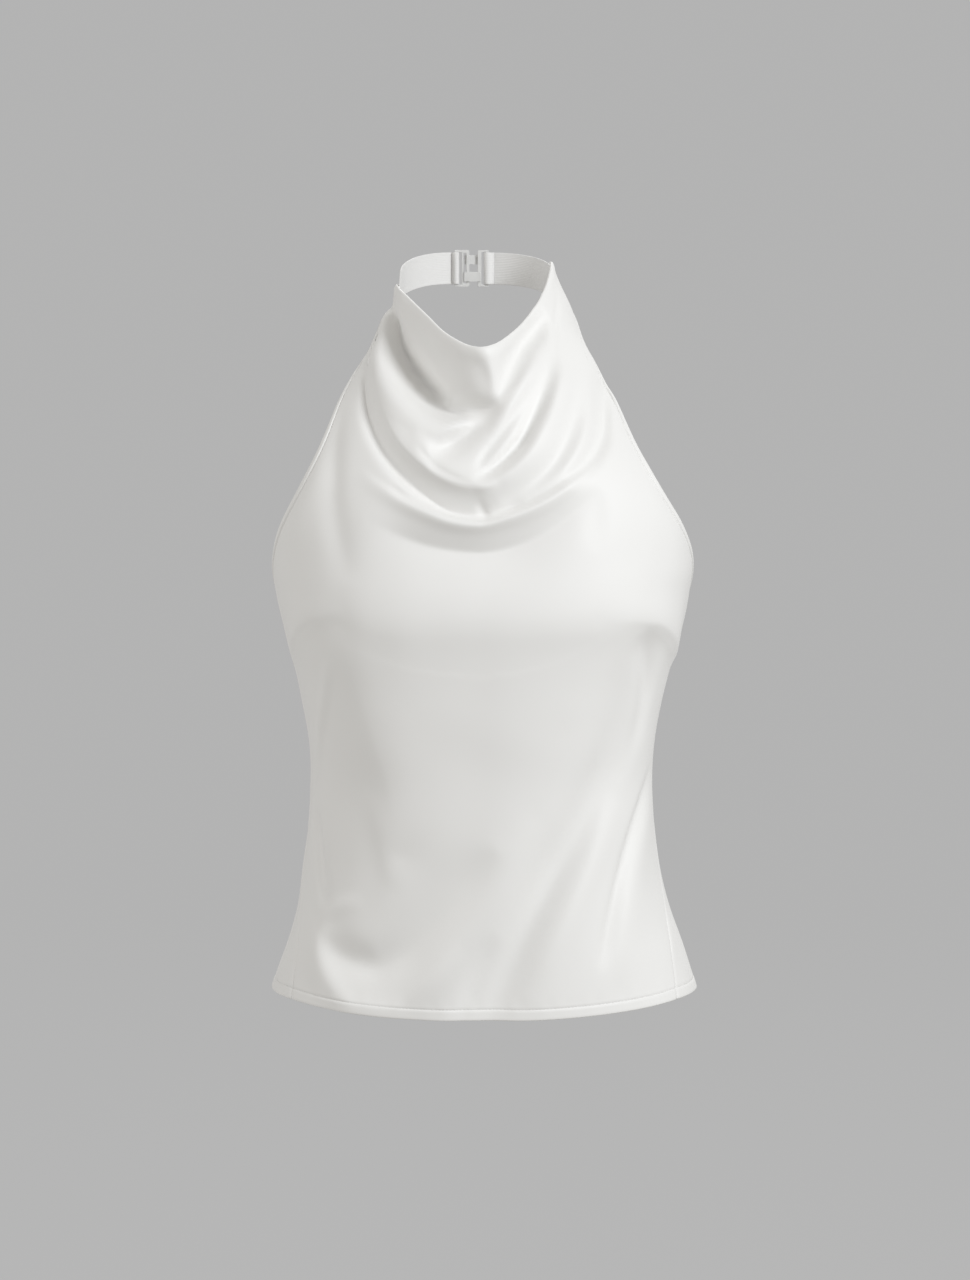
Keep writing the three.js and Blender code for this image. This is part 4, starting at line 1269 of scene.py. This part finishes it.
frontLifted = frontOuter + gridNormals(frontOuter) * stitching["lift"]
backLifted = backOuter + gridNormals(backOuter) * stitching["lift"]
armholeColumn = sideSteps.index(edging["armholeDeep"])
armholeRows = np.nonzero(
    (rowSideUp > frontPanel["underarmUp"]) & (rowSideUp < frontPanel["armholeTopUp"])
)[0]
frontStitches = stitchPiece("frontStitches", [
    frontLifted[nearestRow(front["fromHem"], edging["hemDeep"])],
    frontLifted[armholeRows, armholeColumn],
    frontLifted[armholeRows, -1 - armholeColumn],
], stitching["pitch"])
backStitches = stitchPiece("backStitches", [
    backLifted[nearestRow(back["fromHem"], edging["hemDeep"])],
    backLifted[nearestRow(back["fromTop"], backPanel["topDeep"])],
], stitching["pitch"])
strapStitches = stitchPiece("strapStitches", [leftSeam, rightSeam], stitching["strapPitch"])
print("stitches made")

# Studio, in metres: a plain pale bowl all round, a soft key light from the upper right, a fill and
# a light from behind.
studio = {
    "tone": 0.445,
    "glow": 0.96,
    "floorUp": -1.15,
    "radius": 7,
    "wallTall": 7,
    "bendRadius": 2.5,
    "sides": 64,
    "cameraFar": 2.5,
    "cameraUp": -0.105,
    "aim": (0.002, 0, -0.2771),
    "lens": 95,
    "lights": [  # name, place, aim, size, power, color
        ("keyLight", (2.0, -2.1, 1.15), (0, 0, -0.25), 1.3, 62, (0.975, 1, 1.03)),
        ("fillLight", (-2.6, -0.6, 0.45), (0, 0, -0.3), 1.6, 15, (1, 1, 1)),
        ("backLight", (0.4, 2.4, 1.5), (0, 0, -0.25), 1.6, 26, (1, 1, 1)),
    ],
    "air": (0.918, 0.9, 0.868, 1),
    "airStrength": 0.51,
}


def studioBowl():
    profile = [(0.001, studio["floorUp"])]
    bend, radius, sides = studio["bendRadius"], studio["radius"], studio["sides"]
    for angle in np.linspace(0, math.pi / 2, 13):
        profile.append((
            radius - bend + bend * math.sin(angle),
            studio["floorUp"] + bend - bend * math.cos(angle),
        ))
    profile.append((radius, studio["wallTall"]))
    around = np.arange(sides) * 2 * math.pi / sides
    points = np.concatenate([
        np.stack([distance * np.cos(around), distance * np.sin(around), np.full(sides, z)], -1)
        for distance, z in profile
    ])
    faces = ringFaces(np.arange(len(points)).reshape(-1, sides)).tolist()
    material, tree, shader = newMaterial("paleBackdrop")
    feed(tree, shader, {
        "Base Color": (0.05, 0.05, 0.05, 1),
        "Roughness": 1,
        "Specular IOR Level": 0,
        "Emission Color": (studio["tone"],) * 3 + (1,),
        "Emission Strength": studio["glow"],
    })
    bowl = meshPiece("studioBowl", points / mm, faces, [material])
    bowl.visible_diffuse = False
    bowl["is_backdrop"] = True


def aimAt(holder, place, aim):
    holder.location = place
    direction = Vector(aim) - Vector(place)
    holder.rotation_euler = direction.to_track_quat("-Z", "Y").to_euler()


studioBowl()
for name, place, aim, size, power, color in studio["lights"]:
    light = bpy.data.lights.new(name, "AREA")
    light.shape = "DISK"
    light.size = size
    light.energy = power
    light.color = color
    aimAt(addObject(name, light), place, aim)
world = bpy.data.worlds.new("studioAir")
world.use_nodes = True
feed(world.node_tree, world.node_tree.nodes["Background"], {
    "Color": studio["air"], "Strength": studio["airStrength"],
})
bpy.context.scene.world = world

camera = addObject("camera", bpy.data.cameras.new("camera"))
camera.data.lens = studio["lens"]
camera.data.sensor_width = 36
aimAt(camera, (studio["aim"][0], -studio["cameraFar"], studio["cameraUp"]), studio["aim"])
bpy.context.scene.camera = camera
bpy.context.scene.view_settings.view_transform = "Standard"
print("studio made")

for piece, node, slot in (
    (frontPiece, "front_panel", "satin"),
    (backPiece, "back_panel", "satin"),
    (leftStrap, "strap_left", "elastic"),
    (rightStrap, "strap_right", "elastic"),
    (loopPiece, "clasp_loop", "clasp_plastic"),
    (hookPiece, "clasp_hook", "clasp_plastic"),
    (frontStitches, None, "satin"),
    (backStitches, None, "satin"),
    (strapStitches, None, "elastic"),
):
    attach(piece, "root")
    if node:
        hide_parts(node)

low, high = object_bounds()
print("pieces placed")
